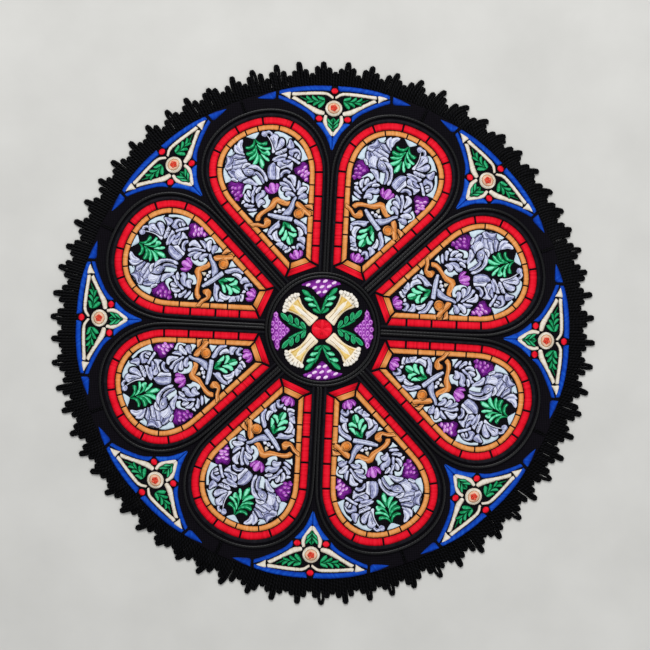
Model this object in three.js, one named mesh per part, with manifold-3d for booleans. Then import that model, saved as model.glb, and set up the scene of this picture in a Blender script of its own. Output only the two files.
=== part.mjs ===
// A round table mat of black cloth, embroidered with a rose window of eight lights round a medallion.
// It lies flat: face up, origin on the table under its middle, +Z up. Sizes are in millimetres.
// The picture is colour on the face cloth. What stands proud is the black double braid of its
// tracery, sewn down on the cloth, and the fringe of black cord loops round its edge.

import * as THREE from 'three';
import { mergeVertices } from 'three/addons/utils/BufferGeometryUtils.js';
import Module from 'manifold-3d';

const wasm = await Module();
wasm.setup();

// Cloths
const CLOTH_RADIUS = 184.5;          // face cloth, out to the seam of the fringe
const FACE_THICKNESS = 1.0;
const LINING_THICKNESS = 1.5;        // lining and wadding, quilted into one layer
const EDGE_TURN = 0.4;               // how far the face cloth's top edge rolls over
const SEAM_GAP = 0.3;                // between pieces that are sewn edge to edge
const CLOTH_SIDES = 80;

// Fringe of cord loops on a woven heading tape
const TAPE_WIDTH = 10.5;
const TEETH = 70;
const SHORT_LOOP = 12.0;             // reach of each loop beyond the face cloth
const MIDDLE_LOOP = 15.2;
const LONG_LOOP = 20.6;
const LOOP_NOTCH = 2.4;              // depth of the notch between two loops
const LOOP_CROWN = 0.5;              // how far a loop's shoulders lie below its tip
const LOOP_CORD = 1.9;

// Lights, which the braids run round
const LIGHTS = 8;
const SPOKE_WIDTH = 11.1;            // black cloth between two lights
const HEAD_DISTANCE = 126.75;        // from the centre to the widest part of a light
const HEAD_SHOULDER = 3.3;           // how far the widest part stands back from the spoke's edge
const HEAD_ROUNDNESS = 2.15;         // exponent of the head's superellipse
const SHOULDER_SOFTNESS = 1.35;      // how softly a straight side turns into the head
const RIM_MARGIN = 16.65;            // black cloth beyond the head of a light

// Braids
const BRAID_SETOFF = 0.7;            // black cloth between a light and its braid
const SPOKE_CLEARANCE = 0.2;         // from a braid to the middle of the spoke
const BRAID_HEIGHT = 1.6;
const BRAID_GROOVE = 0.7;            // depth of the groove between the braid's two cords
const BRAID_EDGE = 0.7;              // height of the braid's two long edges
const RING_RADIUS = 40.5;            // middle of the medallion's braid
const RING_WIDTH = 4.2;
const RING_SIDES = 48;
const JOINT_WIDTH = 2.4;
const JOINT_HEIGHT = 1.0;
const JOINT_RIM_GAP = 0.8;           // from the outer end of a joint cord to the cloth's edge
const SIDE_STEPS = 5;                // points along a light's straight side
const HEAD_STEPS = 20;               // points round its head
const BRAID_STEPS = 34;              // sections of the braid that follows them

const blackCloth = new THREE.MeshStandardMaterial({ color: 0x17171a, roughness: 0.92, metalness: 0 });
const liningCloth = new THREE.MeshStandardMaterial({ color: 0x1d1d20, roughness: 0.95, metalness: 0 });
const blackBraid = new THREE.MeshStandardMaterial({ color: 0x141416, roughness: 0.6, metalness: 0 });
const blackCord = new THREE.MeshStandardMaterial({ color: 0x111113, roughness: 0.7, metalness: 0 });

const faceTop = LINING_THICKNESS + FACE_THICKNESS;
const spokeHalf = SPOKE_WIDTH / 2;
const halfTurn = Math.PI / LIGHTS;
const braidWidth = spokeHalf - BRAID_SETOFF - SPOKE_CLEARANCE;
const braidMiddle = BRAID_SETOFF + braidWidth / 2;
const ringOuter = RING_RADIUS + RING_WIDTH / 2;
const headTip = CLOTH_RADIUS - RIM_MARGIN;
const liningRadius = CLOTH_RADIUS - TAPE_WIDTH - SEAM_GAP;

const mat = new THREE.Group();

function addMesh(name, geometry, material, height = 0, turn = 0) {
  const mesh = new THREE.Mesh(geometry, material);
  mesh.name = name;
  mesh.position.z = height;
  mesh.rotation.z = turn;
  mat.add(mesh);
}

// A profile of [radius, height] pairs turned about the upright axis.
function turned(profile, sides) {
  const points = profile.map(([radius, height]) => new THREE.Vector2(radius, height));
  return new THREE.LatheGeometry(points, sides).rotateX(Math.PI / 2);
}

function toSolid(geometry) {
  const bare = geometry.clone();
  bare.deleteAttribute('normal');
  bare.deleteAttribute('uv');
  const merged = mergeVertices(bare, 1e-5);
  return new wasm.Manifold(new wasm.Mesh({
    numProp: 3,
    vertProperties: new Float32Array(merged.attributes.position.array),
    triVerts: new Uint32Array(merged.index.array),
  }));
}

function toGeometry(solid) {
  const mesh = solid.getMesh();
  const geometry = new THREE.BufferGeometry();
  geometry.setAttribute('position', new THREE.BufferAttribute(mesh.vertProperties, 3));
  geometry.setIndex(new THREE.BufferAttribute(mesh.triVerts, 1));
  return geometry;
}

// Lining: a flat disc that stops where the fringe's heading tape starts.
function liningGeometry() {
  return turned([
    [0, 0],
    [liningRadius, 0],
    [liningRadius, LINING_THICKNESS],
    [0, LINING_THICKNESS],
  ], CLOTH_SIDES);
}

// Face cloth: a flat disc whose top edge rolls over to the seam.
function faceGeometry() {
  return turned([
    [0, 0],
    [CLOTH_RADIUS, 0],
    [CLOTH_RADIUS, FACE_THICKNESS - EDGE_TURN],
    [CLOTH_RADIUS - EDGE_TURN, FACE_THICKNESS],
    [0, FACE_THICKNESS],
  ], CLOTH_SIDES);
}

// Fringe: the tape under the face cloth's edge, joined to loops that grow to the tip of each tooth.
function fringeGeometry() {
  const reaches = [LONG_LOOP, MIDDLE_LOOP, SHORT_LOOP, MIDDLE_LOOP];
  const loops = TEETH * reaches.length;
  const pitch = 2 * Math.PI / loops;
  const inner = CLOTH_RADIUS + SEAM_GAP;
  const outline = [];
  const at = (radius, angle) => new THREE.Vector2(radius * Math.cos(angle), radius * Math.sin(angle));
  for (let loop = 0; loop < loops; loop += 1) {
    const reach = reaches[loop % reaches.length];
    const before = reaches[(loop + reaches.length - 1) % reaches.length];
    const angle = loop * pitch;
    outline.push(at(CLOTH_RADIUS + Math.min(reach, before) - LOOP_NOTCH, angle - pitch / 2));
    outline.push(at(CLOTH_RADIUS + reach - LOOP_CROWN, angle - pitch / 3.4));
    outline.push(at(CLOTH_RADIUS + reach, angle + pitch / 12));
  }
  const shape = new THREE.Shape(outline);
  const hole = new THREE.Path();
  hole.absarc(0, 0, inner, 0, 2 * Math.PI, true);
  shape.holes.push(hole);
  const loopRing = new THREE.ExtrudeGeometry(shape, {
    depth: LOOP_CORD,
    bevelEnabled: false,
    curveSegments: CLOTH_SIDES / 2,
  });
  const tapeOuter = CLOTH_RADIUS + SHORT_LOOP - LOOP_NOTCH - LOOP_CORD;
  const tape = turned([
    [CLOTH_RADIUS - TAPE_WIDTH, 0],
    [tapeOuter, 0],
    [tapeOuter, LINING_THICKNESS],
    [CLOTH_RADIUS - TAPE_WIDTH, LINING_THICKNESS],
    [CLOTH_RADIUS - TAPE_WIDTH, 0],
  ], CLOTH_SIDES);
  return toGeometry(toSolid(loopRing).add(toSolid(tape)));
}

// Half the width of a light at a distance from the mat's centre, given the head's own half width
// there: the straight side runs beside the spoke, and the two are blended softly.
function lightHalfWidth(distance, headHalf) {
  const sideHalf = (distance * Math.sin(halfTurn) - spokeHalf) / Math.cos(halfTurn);
  const middle = (headHalf + sideHalf) / 2;
  return Math.max(0, middle - Math.hypot((headHalf - sideHalf) / 2, SHOULDER_SOFTNESS));
}

// One side of a light's outline with the light's own axis along +Y, from the spoke's inner end
// at the medallion's braid up to the tip of the head.
function lightSide() {
  const widest = (HEAD_DISTANCE * Math.sin(halfTurn) - spokeHalf - HEAD_SHOULDER) / Math.cos(halfTurn);
  const spokeStart = ringOuter + SEAM_GAP;
  const start = (spokeStart + spokeHalf * Math.tan(halfTurn)) * Math.cos(halfTurn);
  const points = [];
  for (let step = 0; step < SIDE_STEPS; step += 1) {
    const distance = start + (HEAD_DISTANCE - start) * step / SIDE_STEPS;
    points.push(new THREE.Vector2(lightHalfWidth(distance, widest), distance));
  }
  for (let step = 0; step <= HEAD_STEPS / 2; step += 1) {
    const angle = Math.PI * step / HEAD_STEPS;
    const across = Math.max(0, Math.cos(angle)) ** (2 / HEAD_ROUNDNESS);
    const along = Math.sin(angle) ** (2 / HEAD_ROUNDNESS);
    const distance = HEAD_DISTANCE + (headTip - HEAD_DISTANCE) * along;
    points.push(new THREE.Vector2(lightHalfWidth(distance, widest * across), distance));
  }
  return points;
}

// The braid's path: the light's outline moved outwards, up one side, round the head, down the other.
function braidPath() {
  const side = lightSide();
  const outline = side.concat(side.slice(0, -1).reverse().map((p) => new THREE.Vector2(-p.x, p.y)));
  const last = outline.length - 1;
  const moved = outline.map((point, index) => {
    const along = outline[Math.min(index + 1, last)].clone().sub(outline[Math.max(index - 1, 0)]).normalize();
    return new THREE.Vector3(point.x + along.y * braidMiddle, point.y - along.x * braidMiddle, 0);
  });
  return new THREE.CatmullRomCurve3(moved, false, 'centripetal');
}

// Section of a braid of two cords side by side, as [across, up] pairs from its middle.
function braidSection(width, height) {
  const edge = Math.min(BRAID_EDGE, height / 2);
  const groove = Math.max(height - BRAID_GROOVE, height / 2);
  return [
    [-width / 2, 0],
    [width / 2, 0],
    [width / 2, edge],
    [width / 4, height],
    [0, groove],
    [-width / 4, height],
    [-width / 2, edge],
  ];
}

// A braid laid along a flat curve. The extrusion's own frame has its first axis pointing down.
function braidGeometry(curve, width, height, steps) {
  const section = new THREE.Shape(braidSection(width, height).map(([x, z]) => new THREE.Vector2(-z, x)));
  return new THREE.ExtrudeGeometry(section, { steps, extrudePath: curve });
}

function ringGeometry() {
  const section = braidSection(RING_WIDTH, BRAID_HEIGHT).map(([x, z]) => [RING_RADIUS + x, z]);
  return turned([...section, section[0]], RING_SIDES);
}

// A joint cord: a short straight double cord from a light's braid out to the rim.
function jointGeometry() {
  const start = headTip + BRAID_SETOFF + braidWidth + SEAM_GAP;
  const end = CLOTH_RADIUS - JOINT_RIM_GAP;
  const line = new THREE.LineCurve3(new THREE.Vector3(0, start, 0), new THREE.Vector3(0, end, 0));
  return braidGeometry(line, JOINT_WIDTH, JOINT_HEIGHT, 1);
}

addMesh('lining', liningGeometry(), liningCloth);
addMesh('face_cloth', faceGeometry(), blackCloth, LINING_THICKNESS);
addMesh('fringe', fringeGeometry(), blackCord);
addMesh('medallion_braid', ringGeometry(), blackBraid, faceTop);

for (let light = 0; light < LIGHTS; light += 1) {
  const turn = (2 * light + 1) * halfTurn - Math.PI / 2;
  addMesh(`light_braid_${light + 1}`, braidGeometry(braidPath(), braidWidth, BRAID_HEIGHT, BRAID_STEPS),
    blackBraid, faceTop, turn);
  addMesh(`joint_cord_${light + 1}`, jointGeometry(), blackBraid, faceTop, turn);
}

export default mat;
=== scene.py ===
"""A round table mat of black cloth, embroidered by machine as a rose window, with a looped cord fringe.

It lies flat. Metres, +Z up, origin on the table under its centre. A light is one of the window's
eight drop-shaped panes, and its own frame has x across it and y outwards from the mat's centre.
"""
import math

import bmesh
import bpy
import numpy as np
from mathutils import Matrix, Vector


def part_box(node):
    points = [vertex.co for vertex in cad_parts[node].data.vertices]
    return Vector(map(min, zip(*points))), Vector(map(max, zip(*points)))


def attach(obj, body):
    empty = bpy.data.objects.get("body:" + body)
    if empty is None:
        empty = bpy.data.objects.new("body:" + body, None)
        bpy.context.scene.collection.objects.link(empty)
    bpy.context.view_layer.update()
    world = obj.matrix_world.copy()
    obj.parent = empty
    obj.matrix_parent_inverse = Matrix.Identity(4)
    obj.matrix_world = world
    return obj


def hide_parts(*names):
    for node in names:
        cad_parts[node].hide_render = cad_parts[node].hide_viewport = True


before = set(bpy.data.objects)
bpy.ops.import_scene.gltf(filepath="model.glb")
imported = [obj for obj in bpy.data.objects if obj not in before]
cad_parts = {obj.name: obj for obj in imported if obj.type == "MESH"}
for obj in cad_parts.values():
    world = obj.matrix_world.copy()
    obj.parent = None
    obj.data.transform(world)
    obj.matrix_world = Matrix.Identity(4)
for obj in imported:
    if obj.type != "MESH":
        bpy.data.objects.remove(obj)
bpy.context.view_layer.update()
MM = 0.001


# The camera, the table and the studio light
# The mat is seen from almost straight above, turned a little on a plain pale table top. The light
# is soft, and stronger from the picture's top.
VIEW_DISTANCE = 0.9     # m from the camera to the point that it looks at
VIEW_WIDTH = 0.4884     # m that the picture shows at that distance
VIEW_TILT = math.radians(3.1)           # from looking straight down
VIEW_TURN = math.radians(2.92)          # about the vertical
VIEW_TARGET = (1.65 * MM, 3.5 * MM, 0)  # that point
SENSOR = 36.0           # mm across the camera's sensor
FLOOR_SIZE = 3.0        # m
PAINT_PATCH = 60.0      # mm across the faint patches in the table's paint
# each lamp's name, place, size in metres and power in watts
LAMPS = [("key lamp", (-0.25, 1.45, 1.45), 0.9, 28), ("fill lamp", (1.2, -0.7, 1.5), 1.2, 9)]
ROOM_LIGHT = 0.43       # strength of the even light from all round


def linear(hex_colour):
    """Turns an sRGB hex colour into Blender's linear RGBA, by the sRGB curve."""
    shares = np.array([int(hex_colour[i:i + 2], 16) / 255 for i in (1, 3, 5)])
    curve = np.where(shares <= 0.04045, shares / 12.92, ((shares + 0.055) / 1.055) ** 2.4)
    return (*curve.tolist(), 1.0)


def add(material, kind, settings=None, inputs=None, stops=()):
    """Adds one node with its own settings, its inputs as plain values or as links, and the stops
    of a colour ramp as (place, hex colour)."""
    made = material.node_tree.nodes.new("ShaderNode" + kind)
    for name, value in (settings or {}).items():
        setattr(made, name, value)
    for name, value in (inputs or {}).items():
        if isinstance(value, bpy.types.NodeSocket):
            material.node_tree.links.new(value, made.inputs[name])
        else:
            made.inputs[name].default_value = value
    for _ in stops[2:]:
        made.color_ramp.elements.new(0.5)
    for number, (place, colour) in enumerate(stops):
        made.color_ramp.elements[number].position = place
        made.color_ramp.elements[number].color = linear(colour)
    return made


def new_material(name, colour, normal=None, **shader_values):
    """Makes a material, given its shader's plain values and two functions that add its patterns."""
    material = bpy.data.materials.new(name)
    material.use_nodes = True
    shader = material.node_tree.nodes["Principled BSDF"]
    for socket, value in shader_values.items():
        shader.inputs[socket.replace("_", " ")].default_value = value
    material.node_tree.links.new(colour(material), shader.inputs["Base Color"])
    if normal:
        material.node_tree.links.new(normal(material), shader.inputs["Normal"])
    return material


def paint_colour(material):
    """Noise on Object coordinates, as the share between two pale greys."""
    place = add(material, "TexCoord").outputs["Object"]
    patches = add(material, "TexNoise", inputs={
        "Vector": place, "Scale": 1 / (PAINT_PATCH * MM), "Detail": 4.0})
    greys = add(material, "ValToRGB", inputs={"Fac": patches.outputs["Fac"]},
                stops=[(0.3, "#cfcec9"), (0.7, "#d8d7d2")])
    return greys.outputs["Color"]


def make_mesh(name, points, faces, materials, face_material=0, smooth=True, maps=None, tone=None):
    """Makes an object from points (n, 3) in metres and faces (m, 4).

    face_material and smooth are one value or one for each face. maps is the "thread map", for
    each point (n, 2) or for each corner of each face (m, 4, 2), and tone is a value for each point.
    """
    mesh = bpy.data.meshes.new(name)
    mesh.from_pydata(points.tolist(), [], faces.tolist())
    for material in materials:
        mesh.materials.append(material)
    count = len(mesh.polygons)
    mesh.polygons.foreach_set("material_index", np.broadcast_to(face_material, count).astype(np.int32))
    mesh.polygons.foreach_set("use_smooth", np.broadcast_to(smooth, count).astype(bool))
    if maps is not None:
        corners = maps[faces] if maps.ndim == 2 else maps
        mesh.uv_layers.new(name="thread map").data.foreach_set("uv", corners.ravel())
    if tone is not None:
        mesh.attributes.new("tone", "FLOAT", "POINT").data.foreach_set("value", tone)
    mesh.update()
    piece = bpy.data.objects.new(name, mesh)
    bpy.context.scene.collection.objects.link(piece)
    return piece


camera_data = bpy.data.cameras.new("camera")
camera_data.sensor_width = SENSOR
camera_data.lens = SENSOR * VIEW_DISTANCE / VIEW_WIDTH
camera = bpy.data.objects.new("camera", camera_data)
camera.rotation_euler = (VIEW_TILT, 0, VIEW_TURN)
camera.location = Vector(VIEW_TARGET) + camera.rotation_euler.to_matrix() @ Vector((0, 0, VIEW_DISTANCE))
bpy.context.scene.collection.objects.link(camera)
bpy.context.scene.camera = camera
bpy.context.scene.view_settings.view_transform = "Standard"

# Matt wall paint on a board, rolled on: almost even, with faint broad patches.
table_paint = new_material("pale matt table paint", paint_colour, Roughness=0.85)
floor_corners = FLOOR_SIZE / 2 * np.array([(-1, -1, 0), (1, -1, 0), (1, 1, 0), (-1, 1, 0)])
floor = make_mesh("floor", floor_corners, np.array([[0, 1, 2, 3]]), [table_paint], smooth=False)

for lamp_name, place, size, power in LAMPS:
    lamp_data = bpy.data.lights.new(lamp_name, "AREA")
    lamp_data.size = size
    lamp_data.energy = power
    lamp = bpy.data.objects.new(lamp_name, lamp_data)
    lamp.location = place
    lamp.rotation_euler = (-Vector(place)).to_track_quat("-Z", "Y").to_euler()
    bpy.context.scene.collection.objects.link(lamp)

room = bpy.data.worlds.new("room")
room.use_nodes = True
room.node_tree.nodes["Background"].inputs["Color"].default_value = linear("#f4f6fa")
room.node_tree.nodes["Background"].inputs["Strength"].default_value = ROOM_LIGHT
bpy.context.scene.world = room


# The face cloth and the lining
# Both are round cuts of tightly woven black cotton, laid one on the other with the fringe's tape
# between them at the rim. The face cloth's cut edge is rolled over and sewn down all round.
CLOTH_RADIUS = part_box("face_cloth")[1][0] / MM
CLOTH_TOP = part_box("face_cloth")[1][2] / MM
CLOTH_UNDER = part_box("face_cloth")[0][2] / MM
LINING_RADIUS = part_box("lining")[1][0] / MM
LINING_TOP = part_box("lining")[1][2] / MM
CLOTH_SIDES = 192
TOP_RINGS = 44          # rings of points from the middle to the rolled edge
UNDER_RINGS = 6
WEAVE = 1.3             # mm from thread to thread, drawn as coarse as it needs to show
WAVE_SCALE = 0.314      # the wave node's scale that makes waves one unit long, two pi over twenty
LINT = 1.5              # mm across the patches where the threads are rougher
PUCKER = 0.12           # mm that the dense stitching draws the cloth up and down
PUCKER_WAVES = (9.1, 7.7, 5.3, 6.1)     # mm for each radian of the four waves of that
PUCKER_FADE = 12.0      # mm over which it fades out at the rim
HEM_INSET = 3.0         # mm from the lining's edge to the groove of its seam
HEM_GROOVE = 0.25       # mm that this seam draws the underside up
HEM_EDGE = (0.6, 0.4)   # mm in and up that the lining's edge is rounded
FLAT_RADII = (60, 120)  # mm to two rings of points on the flat of the lining


def revolve(radii, heights, sides, ripple=None):
    """Carries a profile of radii and heights (mm) round the Z axis.

    Point (i, j) is the profile's point i at angle 2 pi j / sides. ripple(x, y) adds to the height.
    The profile's two ends lie on the axis, or run into each other.
    """
    turn = 2 * np.pi * np.arange(sides) / sides
    x = np.outer(radii, np.cos(turn))
    y = np.outer(radii, np.sin(turn))
    z = np.broadcast_to(np.asarray(heights, float)[:, None], x.shape)
    if ripple is not None:
        z = z + ripple(x, y)
    points = np.stack([x, y, z], axis=-1).reshape(-1, 3) * MM
    return points, grid_faces(len(radii), sides, wrap=True)


def grid_faces(rows, columns, wrap=False):
    """Joins a grid of points, numbered row by row, with one face for each four neighbours."""
    index = np.arange(rows * columns).reshape(rows, columns)
    right = np.roll(index, -1, axis=1)
    if not wrap:
        index, right = index[:, :-1], right[:, :-1]
    return np.stack([index[:-1], index[1:], right[1:], right[:-1]], axis=-1).reshape(-1, 4)


def close_seams(piece):
    """Merges the points that meet at a pole or a seam, and turns every face outwards."""
    shape = bmesh.new()
    shape.from_mesh(piece.data)
    bmesh.ops.remove_doubles(shape, verts=shape.verts, dist=1e-3 * MM)
    bmesh.ops.recalc_face_normals(shape, faces=shape.faces)
    shape.to_mesh(piece.data)
    shape.free()


def weave_height(material):
    """Plain weave: threads along X and along Y that take turns on top, roughened by fine noise."""
    place = add(material, "TexCoord").outputs["Object"]
    waves = [
        add(material, "TexWave", {"bands_direction": axis, "wave_profile": "SIN"},
            {"Vector": place, "Scale": WAVE_SCALE / (WEAVE * MM), "Distortion": 0.4}).outputs["Fac"]
        for axis in ("X", "Y")]
    crossing = add(material, "Math", {"operation": "MULTIPLY"}, {0: waves[0], 1: waves[1]})
    lint = add(material, "TexNoise", inputs={"Vector": place, "Scale": 1 / (LINT * MM), "Detail": 4.0})
    both = add(material, "Math", {"operation": "MULTIPLY_ADD"},
               {0: lint.outputs["Fac"], 1: 0.6, 2: crossing.outputs[0]})
    return both.outputs[0]


def weave_colour(material):
    """Blacks, with painted shade between the threads and a painted highlight on the top of each."""
    blacks = add(material, "ValToRGB", inputs={"Fac": weave_height(material)},
                 stops=[(0.1, "#040306"), (0.6, "#0d0b10"), (1.0, "#17141b")])
    return blacks.outputs["Color"]


def weave_normal(material):
    """Turns the weave's height into a bump of a tenth of a millimetre."""
    bump = add(material, "Bump", inputs={
        "Height": weave_height(material), "Strength": 0.5, "Distance": 0.12 * MM})
    return bump.outputs["Normal"]


# Black cotton, tightly woven and dyed: nearly matt, a touch of violet, its threads just showing
# through painted shade between them.
black_cotton = new_material(
    "black cotton cloth", weave_colour, weave_normal, Roughness=0.85, Specular_IOR_Level=0.05)


def pucker(x, y):
    """Low ripples in the cloth, fading to nothing at its rim: the sum of two crossed pairs of sines,
    one along X and Y and one along the diagonals."""
    a, b, c, d = PUCKER_WAVES
    waves = np.sin(x / a + 0.8) * np.sin(y / b) + 0.6 * np.sin((x + y) / c) * np.sin((x - y) / d)
    fade = np.clip((CLOTH_RADIUS - 1 - np.hypot(x, y)) / PUCKER_FADE, 0, 1)
    return -PUCKER * (0.5 + 0.3 * waves) * fade


roll = np.linspace(0, np.pi, 7)[1:]
roll_radius = (CLOTH_TOP - CLOTH_UNDER) / 2
flat_radius = CLOTH_RADIUS - roll_radius
top_radii = np.linspace(0, flat_radius, TOP_RINGS)
top_points, top_faces = revolve(
    np.concatenate([top_radii, flat_radius + roll_radius * np.sin(roll)]),
    np.concatenate([np.full(TOP_RINGS, CLOTH_TOP), CLOTH_UNDER + roll_radius + roll_radius * np.cos(roll)]),
    CLOTH_SIDES, pucker)
under_points, under_faces = revolve(
    np.linspace(flat_radius, 0, UNDER_RINGS), np.full(UNDER_RINGS, CLOTH_UNDER), CLOTH_SIDES)
face_cloth = make_mesh(
    "face_cloth_sheet", np.vstack([top_points, under_points]),
    np.vstack([top_faces, under_faces + len(top_points)]), [black_cotton])
close_seams(face_cloth)

# from the middle of the underside over the seam's groove, round the edge and to the top's middle
edge_in, edge_up = HEM_EDGE
lining_profile = np.array([
    (0, 0), *((radius, 0) for radius in FLAT_RADII), (LINING_RADIUS - 2 * HEM_INSET, 0),
    (LINING_RADIUS - HEM_INSET, HEM_GROOVE), (LINING_RADIUS - edge_in, 0), (LINING_RADIUS, edge_up),
    (LINING_RADIUS, LINING_TOP - edge_up), (LINING_RADIUS - edge_in, LINING_TOP),
    (FLAT_RADII[-1], LINING_TOP), (0, LINING_TOP)])
lining_points, lining_faces = revolve(*lining_profile.T, CLOTH_SIDES)
lining_cloth = make_mesh("lining_sheet", lining_points, lining_faces, [black_cotton])
close_seams(lining_cloth)


# How the embroidery is sewn
# Rayon thread is laid from edge to edge of each shape in close satin stitches, which stand up in
# a low dome. Where a shape covers another it lies one layer higher, and black thread outlines it.
STITCH = 1.05           # mm from thread to thread, drawn twice as coarse as it is so that it shows
LAYER = 0.12            # mm that one layer of stitches adds
CROWN = 0.32            # mm that a broad shape's middle stands above its layer
FULL_CROWN_WIDTH = 2.6  # mm from which a shape is broad
SUNK = 0.3              # mm that the stitches' ends go down into the cloth
RIDGE = 0.08            # mm that the valley between two stitches is lower and further in
RAGGED = 0.06           # mm, more or less, that a stitch ends off its place
DRIFT = 0.07            # of the thread's range of tones, more or less, from stitch to stitch
SPREAD = 0.18           # mm that the thread spreads past the drawn edge
OUTLINE = 0.48          # mm of black thread round a shape that lies on another
OUTLINE_TONE = 0.4
CELL = 0.5              # mm across a cell of the map of layers
FIELD = 200.0           # mm from that map's middle to its edge
REST_SHARE = 0.5        # of its width, over which a shape rests on what is sewn already
COVER_SHARE = 0.75      # of its width, over which it lifts what is sewn later
# places across a row of stitches, from -1 to 1, each with its share of the rise and its change of
# tone, which is painted shade towards the edges and a painted highlight beside the crown: satin
# stitches, the black backing that outlines a shape, and flat stitches run over others
SATIN = [
    (-1, 0, -0.36), (-0.9, 0.65, -0.2), (-0.35, 1, 0.19), (0.35, 1, 0.05), (0.9, 0.65, -0.25), (1, 0, -0.36)]
BACKING = [(-1, 0, -0.3), (-0.88, 0.9, 0), (0.88, 0.9, 0), (1, 0, -0.3)]
RUN = [(-1, 0, -0.3), (-0.6, 1, 0.05), (0.6, 1, 0.05), (1, 0, -0.3)]
RUN_RISE = 0.28         # mm above its layer, just over the crown of the shape below it
RUN_LAYER = 0.2         # of a layer that it adds
BACKING_STEP = 0.7      # places to a stitch along the hidden backing
FIBRES = (2.2, 0.35, 1.0)       # patches of fibres to a mm along a shape and across it
STREAK_PATCHES = (0.3, 1.5, 1.0)        # and patches of one tone
PAINTED_THREAD_SHADE = 0.12    # of the range of tones: painted shade, from a thread's middle down to between two
# each thread's colours from dark to light, for its own tones and for the painted shade and
# highlight of its stitches, after how strongly it is streaked
RAYON_COLOURS = {
    "red": (0.1, [(0.0, "#6a030d"), (0.35, "#c4091d"), (0.55, "#e80c26"), (1.0, "#fa2c3e")]),
    "orange": (0.12, [(0.0, "#94551f"), (0.35, "#d5843f"), (0.6, "#e89a54"), (1.0, "#f6b981")]),
    "deep orange": (0.3, [(0.0, "#9a4a0c"), (0.4, "#d97222"), (0.7, "#e88d3c"), (1.0, "#f3a964")]),
    "sky": (0.2, [(0.0, "#8ea5b8"), (0.4, "#bfd3e2"), (0.7, "#d6e6f0"), (1.0, "#eaf3f8")]),
    "lavender": (0.75, [
        (0.0, "#3f4160"), (0.25, "#767aa2"), (0.5, "#a1a5cd"), (0.75, "#c9cdea"), (1.0, "#ebeefd")]),
    "periwinkle": (0.6, [(0.0, "#565b80"), (0.3, "#8a90b6"), (0.55, "#aab1d2"), (1.0, "#dfe4f6")]),
    "green": (0.3, [
        (0.0, "#02301c"), (0.35, "#07703f"), (0.6, "#189a5c"), (0.8, "#52d69c"), (1.0, "#98f6d0")]),
    "leaf green": (0.25, [(0.0, "#023822"), (0.35, "#05753f"), (0.6, "#12985a"), (1.0, "#4cc48c")]),
    "purple": (0.35, [(0.0, "#340744"), (0.3, "#6e1a84"), (0.6, "#9636aa"), (1.0, "#dc92e6")]),
    "magenta": (0.35, [(0.0, "#4c0e5a"), (0.35, "#9838aa"), (0.6, "#ba58ca"), (1.0, "#eaa6f4")]),
    "blue": (0.1, [(0.0, "#041e5c"), (0.35, "#08369c"), (0.6, "#0b46b8"), (1.0, "#286ad4")]),
    "ivory": (0.2, [(0.0, "#7d6f5c"), (0.35, "#c6b8a2"), (0.6, "#e2d8c6"), (1.0, "#f8f2e6")]),
    "cream": (0.2, [(0.0, "#a88c60"), (0.35, "#e8d2a8"), (0.6, "#f8e6c6"), (1.0, "#fff6e4")]),
    "gold": (0.3, [(0.0, "#8a6624"), (0.35, "#d2a23e"), (0.6, "#eac260"), (1.0, "#f8e2a6")]),
    "peach": (0.2, [(0.0, "#a8765a"), (0.35, "#dea482"), (0.6, "#ecb898"), (1.0, "#f4d0b8")]),
    "pale pink": (0.2, [(0.0, "#8e4a9c"), (0.35, "#dc9ce0"), (0.6, "#f4d0f4"), (1.0, "#fff0fe")]),
    "coral": (0.2, [(0.0, "#84180f"), (0.35, "#d03424"), (0.6, "#e24a34"), (1.0, "#f07a62")]),
    "border black": (0.1, [(0.0, "#050507"), (0.5, "#131217"), (1.0, "#2a2830")]),
    "outline black": (0.1, [(0.0, "#050508"), (0.5, "#0e0e15"), (1.0, "#262632")]),
}


def thread_height(material):
    """Threads side by side: a sine along the thread map's U, one stitch to a wave, and fine fibres."""
    place = add(material, "UVMap", {"uv_map": "thread map"}).outputs["UV"]
    wave = add(material, "TexWave", {"wave_profile": "SIN"}, {
        "Vector": place, "Scale": WAVE_SCALE / STITCH, "Distortion": 1.2, "Detail": 2.0, "Detail Scale": 1.0})
    stretch = add(material, "Mapping", inputs={"Vector": place, "Scale": FIBRES})
    fibres = add(material, "TexNoise", inputs={"Vector": stretch.outputs[0], "Scale": 1.0, "Detail": 3.0})
    both = add(material, "Math", {"operation": "MULTIPLY_ADD"},
               {0: fibres.outputs["Fac"], 1: 0.9, 2: wave.outputs["Fac"]})
    return both.outputs[0]


def thread_colour(material, stops, streaks):
    """The stitch's tone, with its painted shade and highlight, through the thread's colour ramp.

    It has painted shade between threads, and is lighter and darker in streaks along the shape,
    from noise that is stretched along the thread map's U.
    """
    tone = add(material, "Attribute", {"attribute_name": "tone"}).outputs["Fac"]
    thread_shade = add(material, "MapRange", inputs={
        "Value": thread_height(material), "From Min": 0.2, "From Max": 1.6,
        "To Min": -PAINTED_THREAD_SHADE, "To Max": PAINTED_THREAD_SHADE})
    place = add(material, "UVMap", {"uv_map": "thread map"}).outputs["UV"]
    stretch = add(material, "Mapping", inputs={"Vector": place, "Scale": STREAK_PATCHES})
    strands = add(material, "TexNoise", inputs={"Vector": stretch.outputs[0], "Scale": 1.0, "Detail": 2.0})
    streak = add(material, "Math", {"operation": "MULTIPLY_ADD"},
                 {0: strands.outputs["Fac"], 1: 2 * streaks, 2: thread_shade.outputs[0]})
    both = add(material, "Math", {"operation": "ADD"}, {0: tone, 1: streak.outputs[0]})
    factor = add(material, "Math", {"operation": "SUBTRACT"}, {0: both.outputs[0], 1: streaks})
    return add(material, "ValToRGB", inputs={"Fac": factor.outputs[0]}, stops=stops).outputs["Color"]


def thread_normal(material):
    """Turns the threads' height into a bump."""
    bump = add(material, "Bump", inputs={
        "Height": thread_height(material), "Strength": 0.45, "Distance": 0.15 * MM})
    return bump.outputs["Normal"]


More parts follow.
